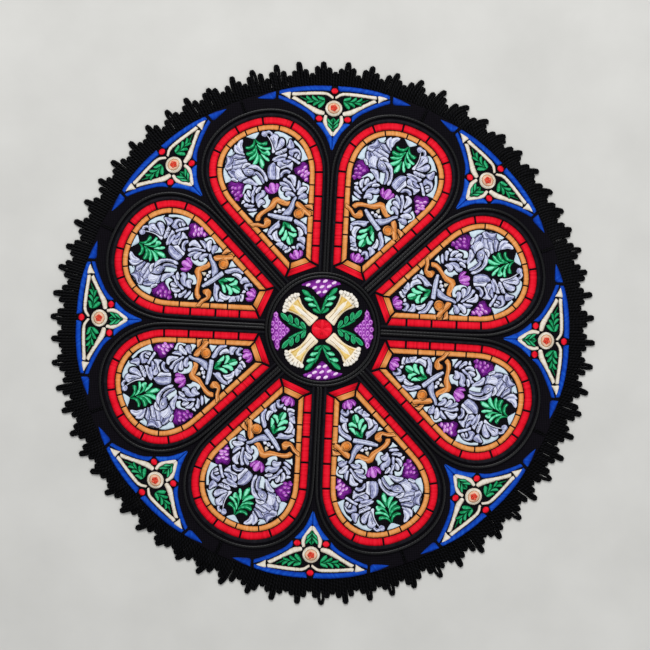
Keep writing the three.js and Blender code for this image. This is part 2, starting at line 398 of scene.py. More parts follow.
# Rayon machine thread: strongly coloured, with a soft silky shine along each stitch.
THREADS = {
    thread: new_material(
        f"{thread} rayon thread",
        lambda made, stops=stops, streaks=streaks: thread_colour(made, stops, streaks),
        thread_normal, Roughness=0.45, Specular_IOR_Level=0.05)
    for thread, (streaks, stops) in RAYON_COLOURS.items()
}


def smooth_curve(points):
    """A curve through all the points: on each stretch a cubic whose slope at a point is half the
    chord between that point's neighbours."""
    given = np.array(points, float)
    padded = np.vstack([2 * given[0] - given[1], given, 2 * given[-1] - given[-2]])
    place = np.linspace(0, len(given) - 1, 12 * (len(given) - 1) + 1)
    start = np.minimum(place.astype(int), len(given) - 2)
    f = (place - start)[:, None]
    a, b, c, d = (padded[start + k] for k in range(4))
    return b + f * (c - a) / 2 + f**2 * (2 * a - 5 * b + 4 * c - d) / 2 + f**3 * (3 * b - 3 * c + d - a) / 2


def lengths_along(curve):
    """The length of a curve up to each of its points."""
    return np.concatenate([[0], np.cumsum(np.hypot(*np.diff(curve, axis=0).T))])


def cut(curve, places):
    """The points of a curve at the given lengths along it."""
    arc = lengths_along(curve)
    return np.column_stack([np.interp(places, arc, values) for values in curve.T])


def leftward(curve):
    """The direction to the left of a curve at each of its points."""
    run = np.gradient(curve, axis=0)
    run /= np.maximum(np.hypot(*run.T), 1e-9)[:, None]
    return np.column_stack([-run[:, 1], run[:, 0]])


def shape(outline):
    """The two edges of a drawn shape, from its first point to the point furthest from that one."""
    points = np.array(outline, float)
    far = int(np.argmax(np.hypot(*(points - points[0]).T)))
    return smooth_curve(points[:far + 1]), smooth_curve(np.vstack([points[far:], points[:1]]))[::-1]


def line(points, width):
    """The two edges of a line of run stitches, pointed at both ends.

    There its half width is the root of the share of its length that is behind times the share
    that is ahead, and elsewhere it stays the same.
    """
    middle = smooth_curve(points)
    share = np.linspace(0, 1, len(middle))
    half = width / 2 * np.minimum(1, 4 * np.sqrt(share * (1 - share)))
    side = leftward(middle) * half[:, None]
    return middle + side, middle - side


def streak(edges, place, start, stop, width):
    """A thin line along a shape, at a place from its right edge, -1, to its left edge, 1."""
    share = np.linspace(start, stop, 5)
    left, right = (cut(edge, lengths_along(edge)[-1] * share) for edge in edges)
    return line((left + right) / 2 + place * (left - right) / 2, width)


def disc(centre, radius, length=1.0, tilt=0.0):
    """The two edges of a disc, or of an oval that is longer along a line at a tilt from across."""
    angle = np.linspace(0, np.pi, 25)
    along, aside = -radius * length * np.cos(angle), radius * np.sin(angle)
    run = np.array([math.cos(tilt), math.sin(tilt)])
    side = np.array([-run[1], run[0]])
    path = np.array(centre) + along[:, None] * run
    return path + aside[:, None] * side, path - aside[:, None] * side


def satin(edges, spread, places):
    """Spaces both edges alike, with so many places to a stitch, and spreads them.

    At two places to a stitch every other one is a valley and spreads less. Gives the middle line
    and half the width, as a vector to the left that points straight aside where a shape ends.
    """
    longest = max(lengths_along(edge)[-1] for edge in edges)
    count = max(5, round(places * round(longest / STITCH)) + 1)
    left, right = (cut(edge, np.linspace(0, lengths_along(edge)[-1], count)) for edge in edges)
    middle, half = (left + right) / 2, (left - right) / 2
    side = leftward(middle)
    if np.sum(side * half) < 0:
        half = -half
    side = half + 0.05 * side
    side /= np.maximum(np.hypot(*side.T), 1e-9)[:, None]
    valley = RIDGE * (np.arange(count) % 2 if places == 2 else np.zeros(count))[:, None]
    return middle, half + side * (spread - valley)


def turn_flat(points, angle):
    """Turns flat points (n, 2) anticlockwise about the frame's middle."""
    cos, sin = math.cos(angle), math.sin(angle)
    return points @ np.array([[cos, sin], [-sin, cos]])


class Sewing:
    """Shapes sewn in turn on one flat frame, each on top of what it covers.

    A map of the frame, in cells, keeps how many layers of stitches lie where.
    """

    def __init__(self, seed):
        self.layers = np.zeros((int(2 * FIELD / CELL),) * 2)
        self.random = np.random.default_rng(seed)
        self.threads = []
        self.parts = {part: [] for part in ("points", "faces", "thread", "smooth", "map", "tone")}
        self.count = 0

    def cells(self, middle, half, reach):
        """The cells of the layer map that a shape covers, out to a share of its half width."""
        share = np.linspace(-reach, reach, 9)[:, None, None]
        spots = (middle + half * share + FIELD) / CELL
        return tuple(spots.reshape(-1, 2).astype(int).T)

    def sew(self, thread, tone, edges, outlined=False, spread=SPREAD, row=SATIN, shading=1.0):
        """Sews one shape in one thread, after a wider black one if it is outlined on another.

        spread is how far it reaches past its edges in mm, row its kind of stitches, and shading
        the share of the row's painted shade and highlight that it has.
        """
        middle, half = satin(edges, spread, 2 if row is SATIN else 1)
        under = self.layers[self.cells(middle, half, REST_SHARE)].max()
        if outlined and under:
            backing = satin(edges, spread + OUTLINE, BACKING_STEP)
            self.body("outline black", OUTLINE_TONE, *backing, under, BACKING)
            under += 1
        self.body(thread, tone, middle, half, under, row, shading)
        self.layers[self.cells(middle, half, COVER_SHARE)] = under + (1 if row is SATIN else RUN_LAYER)

    def run(self, thread, tone, edges, spread=0):
        """Runs flat stitches in one thread over what is sewn already."""
        self.sew(thread, tone, edges, spread=spread, row=RUN)

    def body(self, thread, tone, middle, half, layer, row, shading=1.0):
        """A closed body: at each place along it, a dome over the full width and a flat bottom.

        Its height is the layer, plus the crown times the row's rise, less a valley at every other
        place. A narrow shape's crown is lower, and a shape that lies on another is lifted by what
        its crown lacks. Each satin stitch ends a little off its place, and each has its own tone,
        to which the row's painted shade and highlight are added.
        """
        across, rise, shade = np.array(row).T
        rows, ring = len(middle), len(row)
        reach = np.hypot(*half.T)
        crown = CROWN * np.minimum(1, 2 * reach / FULL_CROWN_WIDTH)[:, None]
        lift = (CROWN - crown) * (layer > 0)
        if row is RUN:
            crown, lift = RUN_RISE, 0.0
        valley = RIDGE * (np.arange(rows) % 2) * (row is SATIN)
        stitch = np.arange(rows) // 2
        ragged = self.random.normal(0, RAGGED, (rows, 1)) * (row is SATIN)
        half = half * (1 + ragged / np.maximum(reach, 0.5)[:, None])
        xy = middle[:, None] + half[:, None] * across[:, None]
        z = CLOTH_TOP + LAYER * layer + lift + crown * rise - valley[:, None]
        z[:, [0, -1]] = CLOTH_TOP - SUNK
        cap = np.array([[k, k + 1, ring - 2 - k, ring - 1 - k] for k in range(ring // 2 - 1)])
        faces = np.vstack([grid_faces(rows, ring, wrap=True), cap, cap[:, ::-1] + (rows - 1) * ring])
        flat = np.concatenate([np.arange((rows - 1) * ring) % ring == ring - 1, [True] * (2 * len(cap))])
        if thread not in self.threads:
            self.threads.append(thread)
        arc = lengths_along(middle)
        drift = self.random.normal(0, DRIFT, rows)[stitch]
        made = {
            "points": np.dstack([xy, z]).reshape(-1, 3),
            "faces": faces + self.count,
            "thread": np.full(len(faces), self.threads.index(thread)),
            "smooth": ~flat,
            "map": np.dstack([arc[:, None] + 0 * z, reach[:, None] * across]).reshape(-1, 2),
            "tone": (tone + shading * shade + drift[:, None]).ravel(),
        }
        for part, values in made.items():
            self.parts[part].append(values)
        self.count += rows * ring

    def piece(self, name, turn):
        """Turns the frame about the mat's centre and makes what is sewn on it a mesh."""
        whole = {part: np.concatenate(values) for part, values in self.parts.items()}
        points = whole["points"] * MM
        points[:, :2] = turn_flat(points[:, :2], turn)
        made = make_mesh(name, points, whole["faces"], [THREADS[thread] for thread in self.threads],
                         whole["thread"], whole["smooth"], whole["map"], whole["tone"])
        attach(made, "root")
        return made


# The eight lights
# Each light is a drop-shaped pane of embroidery: a border of red bricks, a border of orange ones
# inside it, and a field of lavender leaf scrolls, green leaves, grapes and buds.
LIGHTS = 8
HALF_TURN = math.pi / LIGHTS
# the angles from +Y of the lights' middle lines, and of the corner pieces' between them
LIGHT_TURNS = [(2 * k + 1) * HALF_TURN - math.pi / 2 for k in range(LIGHTS)]
CORNER_TURNS = [2 * k * HALF_TURN - math.pi / 2 for k in range(LIGHTS)]
MEDALLION_RADIUS = 42.9         # mm to the outside of the medallion's braid
SPOKE_HALF = 5.55               # mm from a spoke's middle to a light's edge
HEAD_DISTANCE = 126.75          # mm from the mat's centre to a head's widest place
HEAD_TIP = CLOTH_RADIUS - 17.25         # and to its tip
HEAD_SHOULDER = 3.3             # mm that the head is narrower than the sides would make it there
HEAD_ROUNDNESS = 2.15           # the superellipse's power
SHOULDER_SOFTNESS = 1.35        # mm that the blend cuts off where a side and the head would meet
SIDE_POINTS = 160               # points along a side, and as many round half the head
EDGE_POINTS = 1200              # points along the whole edge
# each border in mm: from the light's edge in, its width, from the mat's centre to its two feet, and
# the gap between its bricks
RED_BORDER = {"inset": -0.4, "width": 5.7, "foot": (46.2, 50.6), "gap": 1.5}
ORANGE_BORDER = {"inset": 6.0, "width": 3.6, "foot": (51.1, 54.9), "gap": 1.05}
BELOW_FOOT = 12.0               # mm that the edge runs on below a foot before it is cut off there
FOOT_GAPS = (0.4, 0.7)          # mm that the side bricks stop short of the feet
BRICK_TONE = 0.5
# the black satin band that frames a light: its row of stitches, with painted shade at its edges,
# and how far its two edges and the cord beyond it lie from the light's edge, first beside a spoke
# and then round the head
BAND = [
    (-1, 0, -0.2), (-0.85, 2.0, -0.1), (-0.4, 2.6, 0.05), (0.4, 2.6, 0.05), (0.85, 2.0, -0.1), (1, 0, -0.2)]
BAND_REACH = [(0.0, 0.0), (2.25, 3.1)]
CORD_REACH = (4.5, 5.5)
WIDENING = (115.0, 155.0)       # mm from the mat's centre between which they move outwards
LIGHT_FOOT = (MEDALLION_RADIUS + SPOKE_HALF * math.tan(HALF_TURN)) * math.cos(HALF_TURN)
OUTLINED = {"lavender", "periwinkle", "orange", "deep orange", "ivory"}
# The outlines below were drawn over the photograph, in its pixels, across and along the middle
# line of a light or of a corner piece.
DRAWN = 0.75            # mm on the mat for one of those pixels
LIGHT_MIDDLE = 0.45     # where the middle line lies in the drawing
# where the bricks of each border meet, from the left foot round the head to the right foot
RED_JOINTS = [
    (-22, 81.5), (-32, 103.5), (-39.5, 127.5), (-50.4, 152), (-52.4, 181), (-40, 204.5), (-14, 219),
    (14, 219), (40, 204), (52.5, 177), (50.5, 150), (42.5, 127), (31, 104.5), (20, 82)]
ORANGE_JOINTS = [
    (-20, 95.5), (-27, 112), (-37.5, 140.5), (-46.4, 164.5), (-43.5, 188.5), (-28, 206), (-6.4, 213.5),
    (6.5, 213.5), (26.5, 205), (42, 187.5), (46, 165), (38.5, 140.5), (33, 122), (26.5, 112), (20.5, 95.5)]


def drawn(points, middle=0.0, flip=1):
    """Points of the drawing in mm, mirrored across its middle line where flip is -1."""
    return (np.array(points, float) - (middle, 0)) * (DRAWN * flip, DRAWN)


def light_outline(start):
    """The whole edge of a light, from its left foot round the head's tip to its right foot.

    The right side runs beside the spoke at a fixed distance and blends softly into the head,
    which is half a superellipse across the widest place. The left side mirrors it.
    """
    widest = (HEAD_DISTANCE * math.sin(HALF_TURN) - SPOKE_HALF - HEAD_SHOULDER) / math.cos(HALF_TURN)
    angle = np.linspace(0, np.pi / 2, SIDE_POINTS)
    head = widest * np.cos(angle).clip(0) ** (2 / HEAD_ROUNDNESS)
    rise = HEAD_DISTANCE + (HEAD_TIP - HEAD_DISTANCE) * np.sin(angle) ** (2 / HEAD_ROUNDNESS)
    out = np.concatenate([np.linspace(start, HEAD_DISTANCE, SIDE_POINTS, endpoint=False), rise])
    limit = np.concatenate([np.full(SIDE_POINTS, widest), head])
    side = (out * math.sin(HALF_TURN) - SPOKE_HALF) / math.cos(HALF_TURN)
    half = (limit + side) / 2 - np.hypot((limit - side) / 2, SHOULDER_SOFTNESS)
    right = np.column_stack([half.clip(0), out])
    edge = np.vstack([right[:-1] * (-1, 1), right[::-1]])
    return cut(edge, np.linspace(0, lengths_along(edge)[-1], EDGE_POINTS))


def offset_outline(beside_spoke, at_head):
    """The light's edge from the medallion's braid on, moved outwards, and further at the head."""
    edge = light_outline(LIGHT_FOOT)
    reach = np.interp(edge[:, 1], WIDENING, (beside_spoke, at_head))
    return edge + leftward(edge) * reach[:, None]


def inside(edge, inset, foot):
    """An edge moved inwards by inset, without the points that come too near it, and cut at foot."""
    moved = edge - leftward(edge) * inset
    gap = np.hypot(*(moved[:, None] - edge[None]).transpose(2, 0, 1)).min(axis=1)
    return moved[(gap > 0.99 * inset) & (moved[:, 1] >= foot)]


def sew_border(sewing, thread, joints, inset, width, foot, gap):
    """Sews a border of bricks between an outer and an inner rail.

    Each brick runs between two joints, less half the gap at each. The last one lies across the
    light's foot, mitred, from the outer rail's left end to the inner rail's and mirrored.
    """
    edge = light_outline(foot[0] - BELOW_FOOT)
    rails = [
        inside(edge, inset + across, height + foot_gap)
        for across, height, foot_gap in zip((0, width), foot, FOOT_GAPS)]
    share = np.linspace(0, 1, 60)
    cuts = []
    for rail in rails:
        arc = lengths_along(rail)
        places = [arc[int(np.argmin(np.hypot(*(rail - joint).T)))] for joint in drawn(joints)]
        cuts.append(([0, *(p + gap / 2 for p in places)], [*(p - gap / 2 for p in places), arc[-1]]))
    for brick in range(len(joints) + 1):
        sewing.sew(thread, BRICK_TONE, [
            cut(rail, start[brick] + (stop[brick] - start[brick]) * share)
            for rail, (start, stop) in zip(rails, cuts)])
    low, high = ((rail[0, 0] + gap, height) for rail, height in zip(rails, foot))
    sewing.sew(thread, BRICK_TONE, [
        np.linspace((low[0] * flip, low[1]), (high[0] * flip, high[1]), 8) for flip in (1, -1)])


# each shape's thread, tone from dark to light, and outline from one tip round through the other,
# in the order of sewing
LIGHT_SHAPES = [
    # pale blue-white ground
    ("sky", 0.6, [(-31.5, 197.3), (-28.5, 200), (-25.3, 202.2), (-24, 199.5), (-23.8, 197), (-28, 195.5)]),
    ("sky", 0.6, [(-33.2, 194.8), (-35, 191.5), (-36.8, 187), (-36, 186.3), (-34, 190.5), (-32.6, 193.5)]),
    ("sky", 0.6, [(-38.2, 186.5), (-40.5, 182.5), (-41.8, 177), (-42, 171.5), (-39, 171.3), (-36, 172),
        (-34.8, 174), (-36.5, 177.5), (-37.3, 182)]),
    ("sky", 0.55, [(0.5, 203.8), (-2.5, 205.3), (-6.8, 208.8), (0, 209.4), (6.6, 208.8), (3.2, 205.3)]),
    ("sky", 0.6, [(20.3, 202.8), (23.5, 203.6), (27.5, 201.6), (31.8, 197.8), (36, 192.2), (33.5, 192.5),
        (30.5, 189), (28, 186.5), (29.6, 191), (28.3, 195), (25, 197), (23.8, 199.5)]),
    ("sky", 0.6, [(36.3, 188), (38.3, 188.4), (41.3, 182.5), (43.2, 176), (44, 166.8), (37, 166.5),
        (38.5, 170), (40, 174), (39.3, 180)]),
    ("sky", 0.7, [(-15.3, 169), (-12.5, 170.2), (-9.8, 168.5), (-7.8, 164), (-6.8, 159), (-8.3, 157.5),
        (-11, 158.5), (-13.2, 161.5)]),
    ("sky", 0.7, [(-30, 154.5), (-27.8, 158), (-25, 162), (-22, 162.8), (-18.8, 161), (-19.6, 157),
        (-23, 158.7), (-26.5, 157)]),
    ("sky", 0.65, [(-6.2, 146), (-8.8, 145), (-11.5, 143.7), (-10.5, 142), (-10.6, 139), (-12, 137.3),
        (-14.6, 137.5), (-14, 135), (-12, 133.9), (-8, 136.3), (-5.6, 139.5), (-6.7, 142)]),
    ("sky", 0.65, [(-30.5, 134.6), (-26, 134), (-22, 133.2), (-26, 131), (-27.4, 129.2), (-28.8, 131.5)]),
    ("sky", 0.7, [(10, 150), (7.3, 149.3), (5, 145), (4.5, 140), (6.5, 136.3), (10, 134.3), (13.3, 133.9),
        (14.8, 136), (13.3, 138), (11.3, 137.3), (9.6, 138.8), (9, 141), (9.8, 143.2), (8, 144.6),
        (7.6, 147.3)]),
    ("sky", 0.65, [(31.4, 146.2), (35.9, 141), (34.3, 136.5), (32.2, 133.5), (31.2, 135), (33.4, 138),
        (33.6, 141), (30, 143.3)]),
    ("sky", 0.65, [(23.3, 130.7), (26.8, 129), (30.2, 129), (29.3, 126), (27.5, 124.3), (25.8, 126.5)]),
    ("sky", 0.65, [(-22.6, 113.7), (-20, 114), (-17.2, 113.6), (-18.5, 112), (-20.2, 110.6), (-21.5, 112)]),
    ("sky", 0.65, [(16.3, 111.4), (20, 111.8), (23.4, 111.4), (22, 108.5), (20.4, 105.2), (18.2, 108)]),
    # upper left acanthus, on a ground of its own
    ("lavender", 0.4, [(-33.5, 192), (-28, 195), (-22, 196.4), (-15.4, 193), (-14.2, 186), (-11.4, 180),
        (-8.8, 171.6), (-12, 168.6), (-19, 168.8), (-27, 169.6), (-33, 172.6), (-35.8, 178), (-36.2, 185)]),
    ("lavender", 0.85, [(-11.4, 207.3), (-14.8, 207), (-18.2, 204), (-18.3, 200.5), (-16.6, 197.2),
        (-15, 195.6), (-14.4, 199), (-14, 202), (-12, 205)]),
    ("lavender", 0.8, [(-20.2, 204.8), (-22.3, 202), (-22.6, 198.8), (-20.8, 195.6), (-18.2, 192.8),
        (-15, 191.4), (-14.8, 193.8), (-16.8, 196.6), (-18.8, 200), (-18.8, 203)]),
    ("lavender", 0.42, [(-26.2, 193), (-25, 195.1), (-22.4, 195.4), (-20.6, 194), (-17.8, 191.8),
        (-14.9, 190.6), (-14.9, 189.2), (-18.5, 189.4), (-22.5, 190.3)]),
    ("lavender", 0.72, [(-26.2, 187), (-25.2, 189), (-22.3, 189), (-18, 187.8), (-14.6, 186.9),
        (-14.4, 184.4), (-18.2, 184.6), (-22.5, 184.9), (-25.3, 185.3)]),
    ("lavender", 0.66, [(-30.4, 183.2), (-29, 185.3), (-26.5, 184.7), (-23, 184.2), (-18.3, 183.6),
        (-20.6, 181.2), (-22.4, 180.3), (-27, 180.6)]),
    ("lavender", 1, [(-21.4, 180), (-19.5, 182.5), (-16.6, 183.6), (-13.8, 182.6), (-11.6, 180),
        (-14, 180.3), (-16.8, 180.4), (-19, 179.4)]),
    ("lavender", 0.42, [(-31.8, 196.6), (-33, 193.5), (-34.5, 190.5), (-37, 187), (-33.5, 186.3),
        (-30.4, 187.2), (-28.3, 189.2), (-26.4, 191.4), (-28.5, 193.6)]),
    ("lavender", 0.6, [(-37, 186.4), (-37.2, 184.8), (-36.4, 182.8), (-33.8, 182.9), (-31.2, 183),
        (-30.6, 185), (-30, 187), (-33.5, 187.3)]),
    ("lavender", 0.36, [(-34.6, 182.2), (-36.2, 180.5), (-35.7, 177.5), (-34.3, 174.5), (-31.8, 171.8),
        (-29.6, 172.3), (-29.9, 175.5), (-30.8, 178.8)]),
    ("lavender", 0.86, [(-28.6, 179.3), (-25, 180.8), (-22.7, 179), (-22.6, 175.5), (-21.4, 171.3),
        (-25, 170.6), (-29, 171), (-30.8, 173.5), (-30.4, 177)]),
    ("lavender", 0.92, [(-35.4, 173), (-33.2, 174), (-31, 171.5), (-29.5, 169.4), (-30.6, 168.4),
        (-32.6, 169.6), (-34.8, 171.2)]),
    ("lavender", 0.45, [(-29, 170.8), (-26, 170.9), (-21.8, 171), (-19.3, 169.8), (-21.5, 168.8),
        (-24.6, 168.5), (-27, 167.3), (-28.4, 168.6)]),
    ("lavender", 0.72, [(-25.4, 166), (-24.4, 168), (-21.5, 168.6), (-17.5, 167.4), (-15, 164.3),
        (-13.2, 161), (-12, 158.8), (-14.4, 158.7), (-17.6, 161.2), (-20.6, 163.6), (-24, 164.8)]),
    ("lavender", 0.5, [(-20.8, 176.8), (-19, 178.8), (-16, 179.3), (-13, 178.4), (-11.3, 175.8),
        (-11.3, 172.8), (-13.3, 170.5), (-16.5, 169.9), (-19.3, 171.2), (-21, 173.8)]),
    ("lavender", 0.95, [(-17.6, 174.6), (-16.8, 175.6), (-15.7, 175.2), (-15.6, 173.9), (-16.6, 173.2)]),
    ("lavender", 0.7, [(-15.4, 178.6), (-12, 180), (-8.2, 179), (-4.6, 175), (-2, 169.5), (-0.9, 164.5),
        (-1.2, 160), (-2.6, 158.6), (-3.9, 160.8), (-3.7, 165), (-5.2, 170.5), (-8.4, 174), (-12, 176.2)]),
    ("lavender", 0.45, [(-10.6, 171.6), (-8.3, 171.8), (-6.2, 169.6), (-4.8, 165.6), (-4.4, 161),
        (-5.6, 158.4), (-6.9, 158.8), (-7.6, 163), (-9, 167.6)]),
    # upper right acanthus
    ("lavender", 0.6, [(8.4, 204.8), (9, 207.2), (11.2, 208.3), (13.6, 207), (14.5, 205), (13, 203),
        (10.6, 202.6)]),
    ("lavender", 0.7, [(13.4, 206.8), (16.5, 206.9), (18.9, 204.6), (19.3, 201.8), (17.2, 200.9),
        (17, 203.2), (15.7, 204.8), (14.3, 204.9)]),
    ("lavender", 1, [(13.5, 202.4), (14.4, 198.2), (14.7, 194), (14.2, 190), (12.3, 184.6), (15.2, 184.6),
        (16, 187.4), (16.2, 191.5), (15.6, 196.5)]),
    ("lavender", 0.74, [(15.4, 199.8), (17.6, 201.4), (20.4, 202.2), (22.9, 200.6), (24, 197.6),
        (22.4, 195.6), (20.4, 191.6), (17.8, 187.2), (15.9, 186.2), (16.3, 190.5), (16, 195.5)]),
    ("lavender", 0.66, [(16.2, 185.8), (18.6, 188.2), (21.2, 191.2), (23.2, 194.4), (25.8, 195.4),
        (27.8, 193.6), (28, 190.4), (25.4, 187.2), (20.4, 185.6)]),
    ("lavender", 0.5, [(34.2, 191.6), (32.2, 190.6), (30.6, 187.4), (27.6, 185.4), (28.8, 183.9),
        (31.4, 182.6), (34, 181.9), (35.5, 183.8), (35.6, 187.4)]),
    ("lavender", 0.55, [(28.2, 178.6), (29.4, 181.2), (32.6, 181), (36.2, 180.8), (38.7, 177.4),
        (39, 172.8), (37.2, 169.6), (36.6, 172.2), (37, 175.2), (34.6, 176.9), (32.2, 176.4), (30.6, 174.7),
        (28.9, 175.8)]),
    ("lavender", 0.75, [(32, 173.3), (33.2, 175.2), (35.2, 175.8), (36.2, 175), (34.6, 173.9),
        (33, 172.6)]),
    ("lavender", 0.85, [(35.9, 169.2), (34, 170.2), (33.9, 171.6), (35.7, 173.2), (37.4, 174),
        (37.6, 171.4)]),
    ("lavender", 0.75, [(25.6, 174.8), (27.6, 175.6), (30.2, 172.8), (33.2, 169), (35.6, 165.7),
        (33.4, 165.1), (30.6, 168.8), (27.9, 172.2)]),
    ("lavender", 0.72, [(14.7, 182.6), (16.6, 184.1), (19.5, 184.1), (22.6, 184.4), (22.6, 180.6),
        (20.6, 181.2), (18.6, 180.2), (16.6, 181)]),
    ("lavender", 0.78, [(22.7, 184.2), (25, 184.5), (27.4, 184.2), (26.8, 182), (24.8, 180.9),
        (22.7, 182)]),
    ("lavender", 0.72, [(9.9, 177.6), (12, 179), (16.5, 179.5), (21, 179.3), (25.6, 179.2), (25.2, 176.9),
        (23.6, 176), (20.4, 177.6), (16, 177.3), (12, 176.7)]),
    ("lavender", 0.6, [(10.8, 175.7), (14.6, 176.7), (19.4, 176.3), (22.6, 175.4), (22, 173.8), (18, 174.3),
        (14, 174.9)]),
    ("lavender", 0.6, [(13.1, 172), (14.4, 174.2), (17.4, 173.9), (18.8, 171.2), (20, 169.6), (24, 169.1),
        (20.4, 168), (16.4, 168.2), (13.9, 169.6)]),
    ("lavender", 0.42, [(19, 172.6), (21.6, 173.4), (25, 172.4), (28, 171), (25.4, 169.9), (22, 170.4)]),
    ("lavender", 0.8, [(14.6, 166.8), (18.6, 167.8), (23.6, 168.1), (28.2, 168.6), (28, 166.2), (26.6, 164),
        (26, 162), (24.8, 161.2), (23.8, 163.4), (21.8, 165.6), (18, 166.1)]),
    ("lavender", 0.5, [(11.6, 158.6), (12.8, 161.8), (15.6, 163.6), (18.8, 164), (21.6, 162.8),
        (23.4, 160.4), (21.4, 159.3), (18.8, 160.9), (16, 160.8), (13.6, 158.6)]),
    ("lavender", 0.48, [(10.4, 174.9), (6.2, 174), (3.1, 171.3), (0.9, 166.4), (0.4, 161.8), (1.8, 160),
        (4.8, 158.6), (8.4, 158.2), (9.8, 163), (11, 168), (11.6, 172.2)]),
    ("lavender", 0.95, [(7.4, 157.9), (9.8, 157.4), (11, 158.8), (11.9, 162.4), (14.2, 166.4),
        (13.2, 168.8), (11.6, 170.6), (9.6, 166), (8.4, 162)]),
    # left spray
    ("lavender", 0.88, [(-23.8, 157.2), (-25.4, 155), (-25.2, 152), (-23.6, 149.7), (-21.8, 151),
        (-21.2, 154), (-22, 156.3)]),
    ("lavender", 0.88, [(-27.2, 154.8), (-29.2, 152.4), (-29.6, 149.6), (-28, 146.8), (-25.8, 145),
        (-24.6, 146.2), (-25.8, 149), (-26.2, 152)]),
    ("lavender", 0.92, [(-34, 146.4), (-32.2, 148.4), (-31, 149.2), (-30.2, 147.4), (-30.8, 146.2)]),
    ("lavender", 0.72, [(-32.4, 143.6), (-31, 145), (-28.4, 144.7), (-27.4, 142.9), (-24.6, 141.6),
        (-22.4, 140.4), (-24.8, 139.4), (-29, 140.8), (-31.4, 142)]),
    ("lavender", 0.68, [(-30.6, 138.7), (-27.6, 138.5), (-24, 137.4), (-21.4, 136.2), (-22.6, 135),
        (-26, 135.5), (-29, 136.7)]),
    ("lavender", 0.58, [(-15.8, 158.9), (-17.2, 158), (-17.8, 155.8), (-20, 154.6), (-20.6, 152.6),
        (-22.6, 151.2), (-21.4, 149.3), (-18.8, 150.4), (-17.8, 152.6), (-14.8, 154.6), (-14.2, 156.8)]),
    ("lavender", 0.55, [(-20.2, 150.2), (-21.8, 149.6), (-22.8, 147), (-24, 144.2), (-22.6, 142.6),
        (-21.2, 144.4), (-20.4, 147.4)]),
    ("lavender", 0.85, [(-9.7, 155.4), (-11.6, 156), (-14.4, 155.4), (-16.6, 153), (-16.2, 151.2),
        (-12.6, 152.6)]),
    ("lavender", 0.62, [(-10, 152.4), (-8, 151), (-7.7, 148.6), (-9.2, 146.3), (-12, 145.3), (-15.2, 144.9),
        (-17.6, 143), (-19.2, 141.6), (-19.4, 144.4), (-17.8, 148), (-14.8, 150.4), (-11.6, 150.2)]),
    ("lavender", 0.7, [(-18.9, 136.8), (-19.4, 139.8), (-17.8, 142.6), (-14.6, 144.1), (-12.2, 142.8),
        (-11.2, 140.4), (-12.2, 138.5), (-14.6, 138.8), (-16.6, 138.2)]),
    # right spray
    ("lavender", 0.6, [(9, 152), (9.6, 153.8), (11.8, 153.4), (14.6, 151.2), (16.6, 148), (17.2, 145.8),
        (15.4, 146.6), (13.4, 148.7), (10.8, 149.9)]),
    ("lavender", 0.66, [(13.3, 154.8), (14.8, 156.3), (16.6, 155.9), (17.6, 153.6), (19.6, 150.6),
        (20.6, 147), (21, 143.6), (21.8, 140.6), (20.6, 139.6), (19.6, 142.4), (18.6, 146.2), (17.4, 149.4),
        (15.6, 152.2)]),
    ("lavender", 0.9, [(18.6, 156.4), (20.4, 157.6), (23, 157.2), (25.6, 155.4), (26.4, 152.8),
        (24.8, 148.8), (22.6, 145), (21.6, 146.2), (21.4, 150.2), (20.9, 154)]),
    ("lavender", 0.7, [(28.4, 149.4), (26.6, 147.4), (25, 144.4), (22.9, 141.2), (25.4, 141), (27.8, 142.8),
        (29, 145.6)]),
    ("lavender", 0.85, [(9, 145.6), (9.8, 147.6), (12.2, 148.2), (14.6, 147), (16.8, 144.8), (18.2, 142.8),
        (15, 143.3), (12, 143.8), (9.9, 144.3)]),
    ("lavender", 0.66, [(10.4, 139.8), (11.4, 142), (14.2, 142.5), (17, 140.8), (19, 138), (19.6, 135.8),
        (17.4, 136.3), (14.6, 138.2), (12, 137.8)]),
    ("lavender", 0.92, [(22, 136.2), (23.4, 138.6), (26.4, 141), (29.8, 141.9), (32.8, 140.6), (33, 138.6),
        (30.6, 137.6), (27.6, 136.6), (24.6, 135.5)]),
    ("lavender", 0.5, [(21.4, 131.8), (22.8, 133.8), (25.4, 135), (28.6, 135.4), (30.8, 133.4),
        (30.4, 130.8), (27.8, 130), (24.4, 131)]),
    # crossing bars
    ("periwinkle", 0.5, [(19.8, 135), (20.6, 133.2), (17.2, 130.2), (14.8, 125.6), (11, 121.6),
        (7.8, 119.3), (4, 120.6), (0.6, 122), (4.2, 124.7), (9.2, 127), (13.2, 130.6), (16.8, 133.9)]),
    ("periwinkle", 0.7, [(-13, 126.2), (-11.6, 128.2), (-6, 125.2), (1, 121), (9.4, 116.4), (8.6, 114.6),
        (7.4, 112.8), (3.8, 114.6), (-4.6, 119.4), (-9, 122.4)]),
    # straps
    ("orange", 0.5, [(-26.3, 125.2), (-24.8, 128.6), (-20.4, 131.8), (-14, 133.2), (-9, 134.6), (-5.2, 138),
        (-2.4, 140.6), (0, 141), (2.8, 140.4), (5.2, 137.4), (8.6, 133.6), (12.8, 132.2), (10.8, 129.6),
        (8.6, 128.9), (5.2, 130.6), (1.8, 133.6), (0, 134.8), (-2, 133.2), (-5.2, 131.2), (-11.6, 130),
        (-17, 128.6), (-20.6, 126.4), (-22.6, 124)]),
    ("orange", 0.5, [(19, 129.8), (16.2, 126.6), (18.8, 121.8), (22.4, 115), (24.6, 112.8), (26.4, 110.8),
        (29.3, 114), (28.4, 116.4), (26.4, 118.4), (24.4, 123.6), (21.8, 128)]),
    ("orange", 0.5, [(25.2, 123.4), (28.6, 123), (31.2, 122.6), (33, 121.5), (32.2, 118.2), (30.9, 115.6),
        (29.2, 117.6), (26.6, 120.4)]),
    ("orange", 0.45, [(-32.8, 124.4), (-29, 123.7), (-24.6, 122.4), (-21.4, 120), (-18.4, 118.8),
